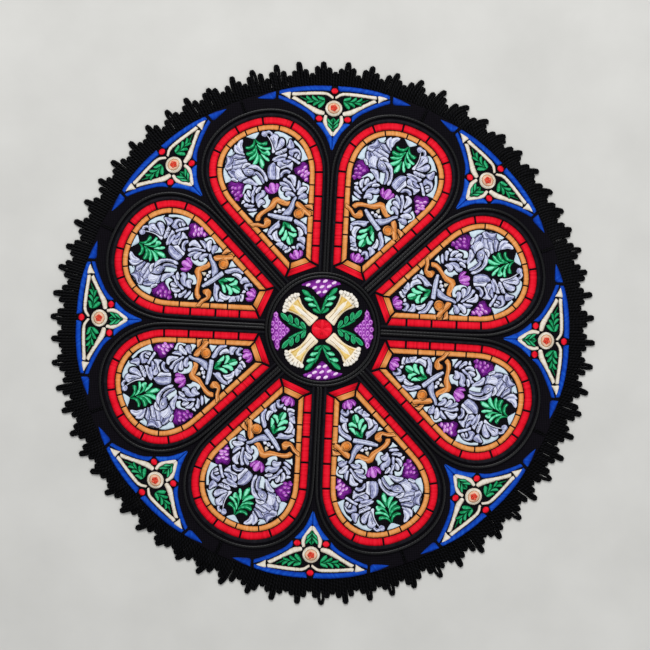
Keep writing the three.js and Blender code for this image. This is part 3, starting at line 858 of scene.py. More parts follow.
        (-18.4, 123.2), (-16.8, 125.2), (-14.4, 124.4), (-12, 120.6), (-13.2, 116.8), (-17, 114.9),
        (-21.4, 115.8), (-25.2, 118.4), (-28.4, 119.8), (-31.6, 120.6)]),
    ("ivory", 0.4, [(-2, 130.2), (-1.2, 132.4), (0, 133.8), (1, 132.2), (1.8, 129.9), (0, 129.3)]),
    ("lavender", 1.05, [(-6.2, 127.5), (-4.5, 128.6), (-3, 127.4), (-4.6, 126.1)]),
    ("lavender", 1.1, [(-2.5, 126.6), (-0.4, 128.4), (1.4, 127), (0.6, 124.9), (-1.2, 125.2)]),
    ("lavender", 1.05, [(1.9, 126.8), (3.8, 128), (5.6, 126.4), (4.4, 125.6), (2.4, 125.6)]),
    # lower acanthus
    ("lavender", 0.6, [(-3.8, 117.6), (-5, 115.6), (-4.8, 113.4), (-6.6, 111.2), (-10, 110.9), (-14, 109.4),
        (-16.6, 107.2), (-19.6, 107.6), (-18, 110.8), (-14, 113.8), (-9, 115.9)]),
    ("lavender", 0.75, [(-19.2, 106.8), (-16.6, 106.6), (-16, 104.4), (-16.4, 101.4), (-17.8, 103.2)]),
    ("lavender", 0.95, [(-9.4, 108.8), (-12.8, 108.2), (-15.6, 105.8), (-15.6, 102), (-13.4, 98.8),
        (-9.8, 97), (-9.4, 98.4), (-10.9, 102), (-10.5, 105.4)]),
    ("lavender", 0.72, [(-15, 96.4), (-12, 97.2), (-9, 96.3), (-7.5, 93.6), (-9.2, 91.2), (-11.6, 90.4),
        (-12.8, 92.7)]),
    ("lavender", 0.6, [(-7.4, 93.2), (-5.4, 91), (-4.4, 89.2), (-7, 88.1), (-10.4, 88.2), (-9.4, 90.8)]),
    ("lavender", 1.05, [(-9.4, 86.8), (-8.7, 84.8), (-5.2, 84.9), (-2.2, 86.2), (-3.3, 89.2),
        (-5.2, 87.6)]),
    ("lavender", 0.64, [(10, 113), (12, 113.2), (14.8, 110), (17.6, 106.2), (19.4, 102.4), (18.6, 98.8),
        (17.2, 95.4), (16.3, 97.2), (15.9, 101), (14.2, 105.2), (11.8, 107.6), (10, 110)]),
    ("lavender", 0.95, [(10.6, 105.2), (12.6, 104.2), (14.2, 100.6), (14.4, 97.2), (13, 95.6), (9.6, 95.4),
        (10.4, 98.4), (11, 101.6)]),
    ("lavender", 0.66, [(6.6, 92.6), (7.8, 95), (11, 94.9), (14.4, 92.6), (13.4, 89.2), (11.6, 86.3),
        (10.5, 88.8), (9, 91)]),
    ("lavender", 0.5, [(3.2, 84), (3.4, 87.4), (5.6, 89.4), (8.4, 88.8), (10.6, 86), (11.2, 83.8),
        (8.6, 81.3), (8, 84), (6, 86.2), (4.6, 84.8)]),
    ("lavender", 0.95, [(-1.2, 88.4), (0.4, 86), (1.9, 85.9), (1.8, 88)]),
    # large leaf
    ("green", 0.42, [(-0.3, 203.4), (-3, 199.8), (-6.4, 198.5), (-10.9, 199.1), (-11.2, 197.4), (-9, 195.7),
        (-6, 195.4), (-2.6, 197), (-0.4, 200)]),
    ("green", 0.45, [(-0.4, 197.4), (-3.6, 195), (-7, 193.4), (-12, 193.4), (-12.9, 191.6), (-11, 189.2),
        (-7.4, 188.9), (-3.4, 190.6), (-0.4, 194)]),
    ("green", 0.6, [(-1.2, 193.6), (-3.4, 190.4), (-6.4, 188.8), (-10, 187.8), (-12.2, 185.6), (-10, 184.7),
        (-6.8, 185.3), (-4, 187), (-1.8, 189.4)]),
    ("green", 0.78, [(-1.4, 188.8), (-4, 186.2), (-6.6, 183.6), (-9.4, 180.8), (-9.2, 179.4), (-6.8, 178.9),
        (-4, 180.8), (-2, 184)]),
    ("green", 0.5, [(-0.2, 187), (-2, 184), (-3.2, 180), (-3.6, 176), (-2.4, 172.4), (-0.4, 174),
        (1.4, 177), (1.4, 181.4), (0.6, 185)]),
    ("green", 1, [(-0.8, 182.6), (-2.4, 179.6), (-2.4, 176), (-0.6, 174.8), (0.8, 176.6), (0.6, 180)]),
    ("green", 0.42, [(0.8, 203.4), (2.8, 200), (5.4, 197.8), (8.6, 197.6), (11.2, 197.4), (10.8, 195),
        (9, 193.8), (6, 194.8), (2.8, 197), (0.9, 200)]),
    ("green", 0.72, [(1, 198), (3.6, 194.8), (6.4, 192.6), (9.6, 191.2), (12.4, 190.8), (12, 188.8),
        (9.6, 188.4), (6.2, 190), (3, 192.4), (1.2, 195)]),
    ("green", 0.5, [(1, 194), (3, 190.4), (5.4, 188.4), (8.6, 188), (10, 186), (9.4, 183.8), (7.2, 183.6),
        (4.4, 185.2), (2, 188)]),
    ("green", 0.9, [(6.4, 187.8), (8.8, 188.2), (10.2, 186), (9.6, 183.6), (7.6, 183.2), (8.6, 185.6)]),
    ("green", 0.85, [(1.4, 187.6), (2.2, 184), (3.6, 180.4), (5.6, 178.2), (7, 178.2), (6.6, 180.6),
        (4.8, 183.4), (3.4, 186)]),
    # small leaf
    ("green", 0.42, [(-0.2, 115), (-2, 112.8), (-3.6, 109.4), (-2, 107.4), (-0.4, 109.4), (0.4, 112.4)]),
    ("green", 0.42, [(0.2, 114.8), (2.6, 113), (4.8, 111.2), (5, 108.6), (3.2, 106.2), (1.2, 108.4),
        (0.6, 111.6)]),
    ("green", 1, [(-2.8, 110), (-5.2, 108.4), (-8, 106.2), (-8.4, 103.6), (-6.2, 104), (-3.8, 105.6),
        (-2.2, 108)]),
    ("green", 0.9, [(-0.6, 106.4), (-2.6, 104.8), (-5, 101.6), (-8, 99.8), (-7.6, 97.4), (-5, 97.2),
        (-2.2, 99), (-0.6, 102.4)]),
    ("green", 0.95, [(4.8, 109.8), (6.2, 107.6), (7.6, 104.6), (8.6, 101.8), (6.8, 101.8), (4.4, 104),
        (4.2, 107)]),
    ("green", 0.9, [(0.9, 104), (2.4, 102.4), (5, 100.8), (8, 99.8), (7.4, 97.4), (4.8, 96.8), (2.2, 98.6),
        (0.9, 101)]),
    ("green", 1, [(-0.8, 99.4), (-2.6, 98), (-3.8, 95), (-3, 91.8), (-1.2, 91), (-0.4, 93.4),
        (-0.2, 96.6)]),
    ("green", 0.4, [(0.6, 100), (2.4, 98.6), (3.2, 95.6), (2.2, 92.8), (0, 91), (-0.2, 93.4),
        (-0.1, 96.6)]),
    # grapes
    ("purple", 0.2, [(-36.8, 150), (-38.8, 153), (-40.2, 158), (-41.7, 163), (-41.6, 167.6), (-39.4, 170.4),
        (-36, 171.2), (-33, 169.4), (-31.2, 168), (-28, 167.8), (-25.4, 165.4), (-25.2, 161.4), (-28, 158),
        (-30, 155), (-33, 152.4), (-34.6, 150)]),
    ("purple", 0.2, [(36.2, 144.4), (33.4, 146.8), (31.4, 150.4), (29.4, 154), (27, 157), (26.8, 160.6),
        (28.6, 163), (31.4, 163), (33.4, 162.4), (35.4, 165), (38.4, 165.6), (41.4, 163.6), (42.4, 160),
        (40.8, 155), (38.8, 149.4), (37.6, 145.4)]),
    # buds
    ("magenta", 0.45, [(-0.8, 145.4), (-4, 146.4), (-6.4, 149.2), (-6.9, 152.6), (-5.6, 154.9), (-3.8, 153),
        (-2.2, 149.6)]),
    ("magenta", 0.45, [(1.6, 145.4), (5, 146.5), (7.4, 149.4), (8, 152.4), (5.8, 154.2), (4.2, 152.4),
        (2.8, 149.6)]),
    ("magenta", 0.7, [(0.4, 144.9), (-1.6, 147.4), (-2.8, 151), (-1.6, 154.8), (0.9, 156.4), (3.6, 155),
        (4.4, 151.4), (2.6, 147.6)]),
    ("magenta", 0.45, [(-0.2, 75), (-3.6, 75.6), (-5.9, 77.8), (-6.3, 80.8), (-4.2, 83), (-2.6, 81),
        (-1.4, 78)]),
    ("magenta", 0.45, [(1.6, 75), (4.8, 75.6), (7.2, 77.8), (7.8, 80.6), (5.2, 82.8), (3.9, 81),
        (2.8, 78)]),
    ("magenta", 0.7, [(0.8, 74.6), (-1, 76.8), (-2.2, 80), (-1.2, 83), (0.8, 84.5), (3.1, 83.2), (3.9, 80),
        (2.6, 76.8)]),
]
# veins and folds in black run stitches: width, then the points that the line passes through
LIGHT_LINES = [
    (1.2, [(-25.2, 197.2), (-23.4, 201), (-23.2, 203.6)]),
    (1.1, [(-27.2, 156), (-24.6, 158.4), (-21.6, 157.2), (-20.4, 154.6)]),
    (1.2, [(-22, 179.4), (-21.8, 175.6), (-21.2, 172.2), (-18.8, 169.6), (-15.8, 168.8), (-12.4, 169.4)]),
    (1, [(-13, 175.8), (-11, 175.4), (-10.8, 173), (-8.4, 172.8), (-5.8, 169), (-4.4, 164.4), (-4.2, 160)]),
    (0.9, [(19.2, 199.4), (18, 195.6), (17.4, 191.4)]),
    (1.2, [(20.6, 190.6), (22.6, 194.2), (25.6, 196.4), (28.4, 194.8), (29.2, 191.2), (27.4, 187.4),
        (24.2, 185)]),
    (1.1, [(28.4, 186.6), (31, 189.2), (33.4, 192.3), (35.6, 191.4)]),
    (1, [(38, 183.4), (39.4, 180), (39.8, 175), (39, 171.4), (37.4, 168.4)]),
    (0.8, [(32.4, 176.6), (34.6, 177), (36.8, 175.8), (37.2, 172.6)]),
    (1.1, [(27.6, 142.6), (31.4, 142.2), (33.8, 140.2), (33.2, 137.6), (30.4, 136.8), (28.6, 137.2)]),
    (0.9, [(-12.4, 144.4), (-10.8, 142.4), (-10.9, 139.4), (-12.2, 137.8)]),
    (1.1, [(9.6, 149.6), (8, 147.4), (8.6, 144.6), (10.4, 143.4)]),
    (1, [(9.8, 142.6), (9.2, 140.4), (10.4, 138), (12, 136.8)]),
    (0.9, [(-17, 106.2), (-13.8, 109.2), (-10, 110)]),
    (1.3, [(27.6, 119.4), (29.4, 117.6), (31.6, 115.6)]),
    (0.6, [(-24.6, 167.6), (-20, 168.9), (-17, 168.2), (-14.6, 165.4), (-13, 161.6)]),
    (1, [(11.2, 174), (12.4, 171), (14.6, 168.2)]),
]
# the middles of the grapes, left bunch and right bunch
LIGHT_GRAPES = [
    [(-37, 164.5), (-34.4, 162.8), (-30.4, 162.2), (-38.2, 160.4), (-36.4, 156.7), (-33.2, 157.8),
        (-37, 152.8), (-31.8, 154.2)],
    [(38.6, 159.6), (35.4, 157.2), (31.6, 157.2), (38, 155), (33.2, 153.2), (36, 151.4), (35.4, 147.6),
        (39.2, 152.6)],
]
# each bunch's grapes: thread, tone, half the width in mm and how many times longer they are, and
# how far from a grape's middle its highlight lies
LIGHT_GRAPE_FORMS = [("magenta", 0.4, 1.6, 1.0), ("magenta", 0.7, 1.5, 1.2)]
GRAPE_SHINE = (-0.25, 0.4)
GRAPE_TILT = math.radians(25)
VOLUTE = (17.2, 117.6)
VOLUTE_RADII = (4.0, 2.85, 2.3)     # mm: the curled strap, the black line inside it and the boss
VOLUTE_CURL = (-0.5, 4.4)           # radians from which to which that line runs round
VOLUTE_LINE = 0.5                   # mm, its width
# how far a thread spreads past its drawn edge, and the share of the stitches' painted shade and
# highlight that it has
SPREADS = {"lavender": 0.3, "green": 0.3}
SOFT = {"lavender": 0.5, "sky": 0.5}
# the fine lines along each broad shape of a thread: their thread and tone, their place across the
# shape, where along it they start and stop, and their width
STREAKS = {
    "lavender": [("lavender", 1.25, 0.42, 0.15, 0.8, 0.75), ("lavender", 0.08, -0.3, 0.2, 0.75, 0.34),
                 ("lavender", 0.12, -0.62, 0.3, 0.85, 0.3)],
    "magenta": [("purple", 0.1, 0.5, 0.1, 0.8, 0.4), ("pale pink", 0.35, -0.1, 0.4, 0.9, 0.6)],
    "orange": [("orange", 1.0, 0.3, 0.06, 0.94, 0.9), ("deep orange", 0.0, -0.4, 0.1, 0.9, 0.36)],
    "periwinkle": [("periwinkle", 1.1, 0.3, 0.1, 0.9, 0.7), ("periwinkle", 0.0, -0.4, 0.1, 0.8, 0.32)]}
BROAD = 1.15            # mm of half its width
LEAF_STREAK = (0.35, 0.15, 0.5, 0.92, 0.6)      # along each green leaf: change of tone, place and so on
LINE_TONE = 0.3

light_sewing = Sewing(seed=3)
band_edges = [offset_outline(*reach) for reach in BAND_REACH]
light_sewing.body("border black", BRICK_TONE, *satin(band_edges, 0, 1), 0, BAND)
sew_border(light_sewing, "red", RED_JOINTS, **RED_BORDER)
sew_border(light_sewing, "orange", ORANGE_JOINTS, **ORANGE_BORDER)
for thread, tone, outline in LIGHT_SHAPES:
    edges = shape(drawn(outline, LIGHT_MIDDLE))
    light_sewing.sew(thread, tone, edges, thread in OUTLINED, SPREADS.get(thread, SPREAD),
                     shading=SOFT.get(thread, 1.0))
    if np.hypot(*satin(edges, 0, 1)[1].T).max() > BROAD:
        for streak_thread, streak_tone, *place in STREAKS.get(thread, []):
            light_sewing.run(streak_thread, streak_tone, streak(edges, *place))
    if thread == "green":
        light_sewing.run(thread, tone + LEAF_STREAK[0], streak(edges, *LEAF_STREAK[1:]))
for bunch, (thread, tone, *form) in zip(LIGHT_GRAPES, LIGHT_GRAPE_FORMS):
    for grape in drawn(bunch, LIGHT_MIDDLE):
        light_sewing.run(thread, tone, disc(grape, *form, GRAPE_TILT))
        shine = disc(grape + GRAPE_SHINE, 0.5 * form[0], form[1] ** 2, GRAPE_TILT)
        light_sewing.run("pale pink", tone - 0.2, shine)
volute = drawn(VOLUTE, LIGHT_MIDDLE)
strap, inner_line, boss = VOLUTE_RADII
curl = np.linspace(*VOLUTE_CURL, 7)
light_sewing.sew("orange", 0.5, disc(volute, strap), outlined=True)
light_sewing.sew("deep orange", 0.55, disc(volute, boss), spread=0)
black_lines = [line(volute + inner_line * np.column_stack([np.cos(curl), np.sin(curl)]), VOLUTE_LINE)]
black_lines += [line(drawn(points, LIGHT_MIDDLE), width * DRAWN) for width, points in LIGHT_LINES]
for edges in black_lines:
    light_sewing.run("outline black", LINE_TONE, edges)
embroidery = [
    light_sewing.piece(f"light_embroidery_{k + 1}", turn) for k, turn in enumerate(LIGHT_TURNS)]


# The corner pieces between the lights
# Where two lights' heads part there is a triangle of embroidery: blue and ivory bars laid like a
# roof truss, with leaves and a small roundel at its middle and dots where the bars meet.
CORNER_MIDDLE = 1.1     # where the middle line lies in the drawing
# the left half, which is mirrored: thread, tone and outline, as in a light
CORNER_SHAPES = [
    ("blue", 0.5, [(-54.6, 235.6), (-54.4, 238.8), (-50, 240.4), (-40, 243), (-30, 244.6), (-20, 245.7),
        (-10, 246.2), (-2.2, 246.2), (-3.4, 241.3), (-10, 241.1), (-20, 240.6), (-30, 239.6), (-40, 238),
        (-50, 235.8)]),
    ("blue", 0.45, [(-55.2, 234.2), (-54.8, 230.8), (-50, 229.2), (-40, 225), (-30, 220.1), (-24, 216.1),
        (-18.2, 210.4), (-17.6, 215.6), (-22, 219.6), (-30, 224.4), (-40, 229.5), (-50, 233)]),
    ("blue", 0.6, [(0.6, 181), (-4.2, 192), (-8, 198.8), (-12.8, 204.3), (-15.8, 207.8), (-12.6, 208.5),
        (-9.6, 208.3), (-6.8, 205.1), (-2.9, 199.6), (0.8, 193)]),
    ("blue", 0.4, [(-76, 230.2), (-67, 235), (-58.4, 237.8), (-58.6, 230.6), (-67, 229.6)]),
    # ivory outlines of the three wings
    ("ivory", 0.6, [(-41.2, 237.8), (-30, 238.7), (-20, 239.6), (-9.8, 239.8), (-4.6, 238.7), (0.2, 235.2),
        (-0.5, 233.2), (-4.6, 235.7), (-8.8, 236.9), (-20, 236.4), (-30, 235.6), (-41, 234.5)]),
    ("ivory", 0.6, [(-41.8, 231.6), (-38.8, 233.8), (-31, 229.8), (-21, 224.8), (-13.4, 221.5),
        (-8.5, 219.8), (-8.2, 217.2), (-10.2, 216.2), (-17, 217.3), (-23, 221), (-31, 226)]),
    ("ivory", 0.6, [(-52.4, 235.7), (-47.4, 237.5), (-43, 237.9), (-43.4, 234.3), (-43.6, 230.8),
        (-47.4, 233)]),
    ("ivory", 0.65, [(0.7, 195.2), (-1.6, 196.6), (-5.6, 202.5), (-8.6, 207.6), (-9, 212.1), (-7.8, 216.1),
        (-5.4, 215.7), (-5.2, 210), (-3.2, 205.1), (0.9, 199.8)]),
    # a leaf lying in the wing
    ("leaf green", 0.3, [(-7.8, 231.6), (-9.6, 233.4), (-14.9, 231.8), (-19.9, 231.2), (-26, 231.6),
        (-33.4, 233.8), (-26.9, 230.2), (-21.9, 229), (-16.9, 228.4), (-12.3, 227.6), (-9, 229)]),
    ("leaf green", 0.55, [(-26.8, 235.2), (-27.2, 232.6), (-24.1, 230.7), (-20.7, 230.4), (-22.7, 232.4),
        (-24.6, 233.9)]),
    ("leaf green", 0.55, [(-21, 235.6), (-21.6, 233.1), (-18.7, 230.8), (-14.8, 230.4), (-16.9, 232.7),
        (-18.9, 234.4)]),
    ("leaf green", 0.6, [(-15.6, 235.4), (-15.6, 233.3), (-12.8, 231.4), (-8.4, 231.2), (-8.8, 233.3),
        (-10.8, 234.6), (-13.4, 234.8)]),
    ("leaf green", 0.5, [(-26.4, 227), (-26, 229.5), (-22.7, 230.4), (-19.5, 230), (-21.5, 228.3),
        (-23.9, 227.7)]),
    ("leaf green", 0.5, [(-19.8, 225.1), (-20, 227.8), (-17, 229.6), (-13, 229.6), (-15.4, 227.2),
        (-17.5, 225.8)]),
    ("leaf green", 0.55, [(-14.2, 223), (-15.2, 225.5), (-12.7, 228.3), (-8.4, 230.8), (-8.6, 228.1),
        (-10.6, 225), (-12.2, 223.6)]),
    # half of the leaf that points to the mat's middle
    ("leaf green", 0.4, [(0.9, 199.8), (-1.7, 203.4), (-3.8, 207), (-4.8, 212.2), (-2, 211.2), (1, 213.6)]),
    ("leaf green", 0.65, [(-4.8, 212.8), (-4.5, 209.7), (-1.7, 207.6), (0.7, 206.2), (-0.9, 209.2),
        (-2.7, 211.4)]),
    ("leaf green", 0.65, [(-4.1, 208), (-3.6, 205.2), (-1.4, 203.4), (0.8, 202.2), (-0.8, 205),
        (-2.1, 206.9)]),
]
# thread, tone, centre and radius (mm) of the left dot, then of the middle dot and the roundel
CORNER_DOTS = [("outline black", 0.2, (-13.2, 212.5), 3.2), ("red", 0.55, (-13.2, 212.5), 2.45)]
CORNER_DISCS = [
    ("outline black", 0.2, (1.1, 241.2), 3.0), ("red", 0.55, (1.1, 241.2), 2.45),
    ("ivory", 0.62, (1.1, 223.4), 6.4), ("gold", 0.1, (1.1, 223.6), 4.7), ("peach", 0.6, (1.1, 223.6), 4.3),
    ("coral", 0.45, (1.1, 223.8), 2.5)]
# the ring of buds on the roundel: how many, mm from its middle to theirs, and their radius
CORAL_BUDS, BUD_REACH, BUD_RADIUS = 5, 1.75, 1.05

corner_sewing = Sewing(seed=5)
for flip in (1, -1):
    for thread, tone, outline in CORNER_SHAPES:
        corner_sewing.sew(thread, tone, shape(drawn(outline, CORNER_MIDDLE, flip)), thread == "leaf green")
    for thread, tone, centre, radius in CORNER_DOTS:
        corner_sewing.sew(thread, tone, disc(drawn(centre, CORNER_MIDDLE, flip), radius), spread=0)
for thread, tone, centre, radius in CORNER_DISCS:
    corner_sewing.sew(thread, tone, disc(drawn(centre, CORNER_MIDDLE), radius), spread=0)
roundel = drawn(CORNER_DISCS[-1][2], CORNER_MIDDLE)
for bud in range(CORAL_BUDS):
    angle = 2 * math.pi * bud / CORAL_BUDS
    middle = roundel + BUD_REACH * np.array([math.cos(angle), math.sin(angle)])
    corner_sewing.sew("coral", 0.4 + 0.2 * (bud % 2), disc(middle, BUD_RADIUS), spread=0)
embroidery += [
    corner_sewing.piece(f"corner_embroidery_{k + 1}", turn) for k, turn in enumerate(CORNER_TURNS)]


# The medallion
# In the middle a red jewel is sewn in eight facets. Four cream sheaves with frilled ends stand
# crosswise from it, and between them are sprays of leaves under bunches of grapes.
# degrees from +X: the four sheaves, and the bunches and the sprays between them
SHEAF_TURNS = [51.3, 142, 229.7, 320.5]
BUNCH_TURNS = [93, 184, 273, 362]
SPRAY_TURNS = [96, 185, 274, 365]
MEDALLION_MIDDLE = (-0.5, 0)    # mm that it was sewn off the mat's centre
JEWEL_RADIUS = 7.6
FACET = ((0, 0.8), (0, JEWEL_RADIUS - 0.5), 3.9)    # a facet's root, tip and width
FACET_TONES = [0.95, 0.52, 0.75, 0.42, 1.0, 0.55, 0.4, 0.7]
# a sheaf, a spray and a bunch are each drawn in mm along +Y, from the medallion's middle
SHEAF = [(0, 8.4), (-4.3, 8.6), (-4.1, 13.5), (-3.8, 18.8), (-4.8, 23.6), (-6.5, 27.8), (-7.4, 30),
         (0, 31.4), (7.4, 30.4), (6.9, 27.5), (4.8, 23.6), (3.8, 18.8), (4, 13.5), (4.9, 8)]
# the right half of what lies on it: thread, tone and outline
SHEAF_SHADES = [
    ("gold", 0.68, [(2.2, 15.5), (2.8, 19), (3.9, 24), (5.9, 28.8), (0, 29.4), (0, 26.2), (1.1, 22.4)]),
    ("gold", 0.3, [(3.1, 21), (4.2, 25), (5.6, 28.4), (4.2, 28.6), (3.2, 25.4)]),
]
SHEAF_HIGHLIGHT = ("ivory", 1.0, [(0, 14), (-1.1, 18), (-1, 22), (0, 26.6), (1, 22), (1.1, 18)])
FOLD_LINES = [(1.7, 9.4, 21), (-1.6, 9.6, 19.5)]    # place across the sheaf, start and end
FOLD_WIDTH = 0.4
# the frill: a band, the tips of its lobes, their size, and the creases from the valleys between
FRILL = [(-7.9, 29.7), (-4.2, 28.2), (0, 27.9), (4.3, 28.3), (8.1, 30), (6.5, 31.8), (3.4, 33.1), (0, 33.6),
         (-3.4, 32.8), (-6.3, 31.4)]
FRILL_TIPS = [(-7.4, 30.4), (-5.4, 32.2), (-3.1, 32.5), (-0.7, 33.9), (1.9, 33.2), (4.2, 33.2), (6.3, 31.6),
              (7.8, 30.5)]
FRILL_LOBES = (1.9, 1.5)        # half the width of its lobes, in turn
FRILL_CREASES = (2.2, 3.4, 1.6, 3.2, 2.4, 3.6, 1.8)
FRILL_MIDDLE = (0, 19)          # the point that the creases run towards
CREASE_START = 0.8              # mm outside a valley
CREASE_WIDTH = 0.45
# the right half of a spray: thread tone, root, tip and width of each leaf
SPRAY_LEAVES = [(0.55, (5.9, 24), (13.3, 30.3), 4.1), (0.72, (4.7, 22), (12, 23.8), 4.0),
                (0.72, (2.7, 17.4), (9.4, 19.4), 3.8), (0.5, (0.5, 11.8), (6.2, 15.6), 3.4)]
SPRAY_STREAK = (0.2, 0.4, 0.9, 0.6)     # a leaf's pale line: place across it, start, end and width
SPRAY_INSET = -0.5              # mm that a leaf's darker middle keeps inside it
SPRAY_STEM = [(0.5, 11.6), (2.2, 16.5), (4, 21), (6.6, 25.4)]
STEM_WIDTH = 2.0
# a bunch, the middles of its grapes, and the middles of its rings where it has rings instead
BUNCH = [(-15.2, 33.2), (-13.5, 34.9), (-6, 37.5), (0, 38.4), (6, 37.9), (12.8, 35.5), (14.2, 33.8),
         (7.8, 31.1), (4.1, 27.8), (0, 23.6), (-4.5, 27.4), (-7.5, 30.8)]
BUNCH_GRAPES = [(-10.2, 33.4), (-2.8, 35.9), (2.6, 36.2), (9.3, 34.9), (-5.4, 31.4), (0.2, 32), (5.5, 32.3),
                (-2.3, 27.7), (2.3, 28.3)]
BUNCH_RINGS = [
    (0, 26.2), (-2.7, 28.9), (2.5, 29), (-5.4, 31.5), (-0.2, 31.4), (5, 31.6), (-12.2, 33.7), (-8.8, 33.7),
    (-2.9, 34.2), (2.4, 34.3), (8, 33.8), (11.6, 34.3), (-5.8, 36.4), (-0.4, 37.2), (5.2, 36.8)]
GRAPE_OVAL = (1.3, 1.45)        # mm of half its width, and how many times longer it is
RING_RADII = (1.9, 1.1)         # mm to the outside of a ring and to the hollow in it


def leaf(root, tip, width):
    """The two edges of a leaf from root to tip, widest beyond its middle and rounded at its tip.

    Its half width goes as a power of the sine of pi times a power of the share of its length.
    """
    root, tip = np.array(root, float), np.array(tip, float)
    share = np.linspace(0, 1, 24)[:, None]
    run = (tip - root) / np.hypot(*(tip - root))
    half = width / 2 * np.sin(np.pi * share**1.4) ** 0.65 * np.array([-run[1], run[0]])
    middle = root + (tip - root) * share
    return middle + half, middle - half


def turned(edges, degrees):
    """A shape that was drawn along +Y, turned to point at an angle from +X, in the medallion."""
    return [turn_flat(edge, math.radians(degrees - 90)) + MEDALLION_MIDDLE for edge in edges]


medallion_sewing = Sewing(seed=7)
for turn in SHEAF_TURNS:
    medallion_sewing.sew("cream", 0.68, turned(shape(SHEAF), turn))
    for flip in (1, -1):
        for thread, tone, outline in SHEAF_SHADES:
            edges = shape(np.array(outline) * (flip, 1))
            medallion_sewing.run(thread, tone, turned(edges, turn))
    thread, tone, outline = SHEAF_HIGHLIGHT
    medallion_sewing.run(thread, tone, turned(shape(outline), turn))
    for across, start, stop in FOLD_LINES:
        fold = line([(across, start), (0.9 * across, (start + stop) / 2), (across, stop)], FOLD_WIDTH)
        medallion_sewing.run("gold", 0.0, turned(fold, turn))
    medallion_sewing.sew("cream", 0.85, turned(shape(FRILL), turn), spread=0.1)
    for lobe, tip in enumerate(FRILL_TIPS):
        medallion_sewing.sew("ivory", 1.0, turned(disc(tip, FRILL_LOBES[lobe % 2]), turn), spread=0)
    for valley, length in zip((np.array(FRILL_TIPS[1:]) + FRILL_TIPS[:-1]) / 2, FRILL_CREASES):
        run = (valley - FRILL_MIDDLE) / np.hypot(*(valley - FRILL_MIDDLE))
        crease = line([valley + CREASE_START * run, valley, valley - length * run], CREASE_WIDTH)
        medallion_sewing.run("ivory", 0.1, turned(crease, turn))
for number, (bunch_turn, turn) in enumerate(zip(BUNCH_TURNS, SPRAY_TURNS)):
    pale = number % 2 == 0
    medallion_sewing.sew("purple", 0.38 if pale else 0.45, turned(shape(BUNCH), bunch_turn))
    for grape in BUNCH_GRAPES if pale else BUNCH_RINGS:
        if pale:
            oval = turned(disc(grape, *GRAPE_OVAL, GRAPE_TILT), bunch_turn)
            medallion_sewing.sew("pale pink", 0.62, oval, spread=0)
        else:
            ring, hollow = (turned(disc(grape, radius), bunch_turn) for radius in RING_RADII)
            medallion_sewing.sew("magenta", 0.75, ring, spread=0)
            medallion_sewing.run("purple", 0.5, hollow)
    for side in (1, -1):
        stem = line([(side * x, y) for x, y in SPRAY_STEM], STEM_WIDTH)
        medallion_sewing.sew("leaf green", 0.55, turned(stem, turn))
        for tone, root, tip, width in SPRAY_LEAVES:
            edges = turned(leaf((side * root[0], root[1]), (side * tip[0], tip[1]), width), turn)
            if pale:
                thread = "green" if tone > 0.6 else "leaf green"
                medallion_sewing.sew(thread, tone, edges, outlined=True, spread=0)
                medallion_sewing.run(thread, tone + 0.3, streak(edges, *SPRAY_STREAK))
            else:
                medallion_sewing.sew("leaf green", 0.95, edges, outlined=True, spread=0)
                medallion_sewing.run("leaf green", 0.5, edges, SPRAY_INSET)
medallion_sewing.sew("red", 0.6, disc(MEDALLION_MIDDLE, JEWEL_RADIUS))
for facet, tone in enumerate(FACET_TONES):
    medallion_sewing.run("red", tone, turned(leaf(*FACET), 360 * facet / len(FACET_TONES)))
embroidery.append(medallion_sewing.piece("medallion_embroidery", 0.0))


# The black braids
# Outside each light's satin band a twisted cord of black cotton is couched, so that two cords run
# down each spoke. Two more go round the medallion, and a thin pair from each light's head to the rim.
CORD_PITCH = 5.0        # mm for one full turn of a two-ply cord
CORD_STEP = 0.75        # mm from one ring of points to the next
CORD_SIDES = 8
CORD_Z = CLOTH_TOP + 0.75       # mm from the table to the middle of the braids' cords
CORD_FIBRES = 0.9       # mm across the patches where its fibres are rougher
BRAID_CORD = (1.2, 0.82)        # half its width and half its height, in mm
BULGE = 0.1             # of a cord's width, by which it is thinner between its plies
PLY_RISE = 1.2          # of that, from there to the top of a ply
CORD_END = 0.35         # of its width, to which a cord that is open runs together at its ends
RING_CORDS = [(39.7, 0.0), (42.2, 0.3)]     # each ring's radius, and the turns by which it is twisted on
JOINT_CORDS = (-0.6, 0.6)       # mm aside from the light's middle line
JOINT_RUN = (174.0, 183.7)      # mm from the mat's centre to their two ends
JOINT_Z = CLOTH_TOP + 0.45      # mm from the table to their middle
JOINT_CORD = (0.58, 0.5)        # half their width and half their height, in mm


def cord_colour(material, stops):
    """Black, with a painted highlight on top of each ply and painted shade between the plies."""
    return add(material, "ValToRGB", inputs={"Fac": ply_height(material)}, stops=stops).outputs["Color"]


def ply_height(material):
    """Diagonal ridges, two to a turn: a cosine of the turns along less the turns round the cord,
    roughened by noise."""
    map_place = add(material, "UVMap", {"uv_map": "thread map"}).outputs["UV"]
    turns = add(material, "VectorMath", {"operation": "DOT_PRODUCT"},
                {0: map_place, 1: (4 * math.pi, -4 * math.pi, 0)})
    ridge = add(material, "Math", {"operation": "COSINE"}, {0: turns.outputs["Value"]})
    place = add(material, "TexCoord").outputs["Object"]
    fibres = add(material, "TexNoise", inputs={
        "Vector": place, "Scale": 1 / (CORD_FIBRES * MM), "Detail": 4.0})
    both = add(material, "Math", {"operation": "MULTIPLY_ADD"},
               {0: ridge.outputs[0], 1: 0.35, 2: fibres.outputs["Fac"]})
    return both.outputs[0]


def ply_normal(material):
    """Turns the plies' height into a bump."""
    bump = add(material, "Bump", inputs={
        "Height": ply_height(material), "Strength": 0.4, "Distance": 0.12 * MM})
    return bump.outputs["Normal"]
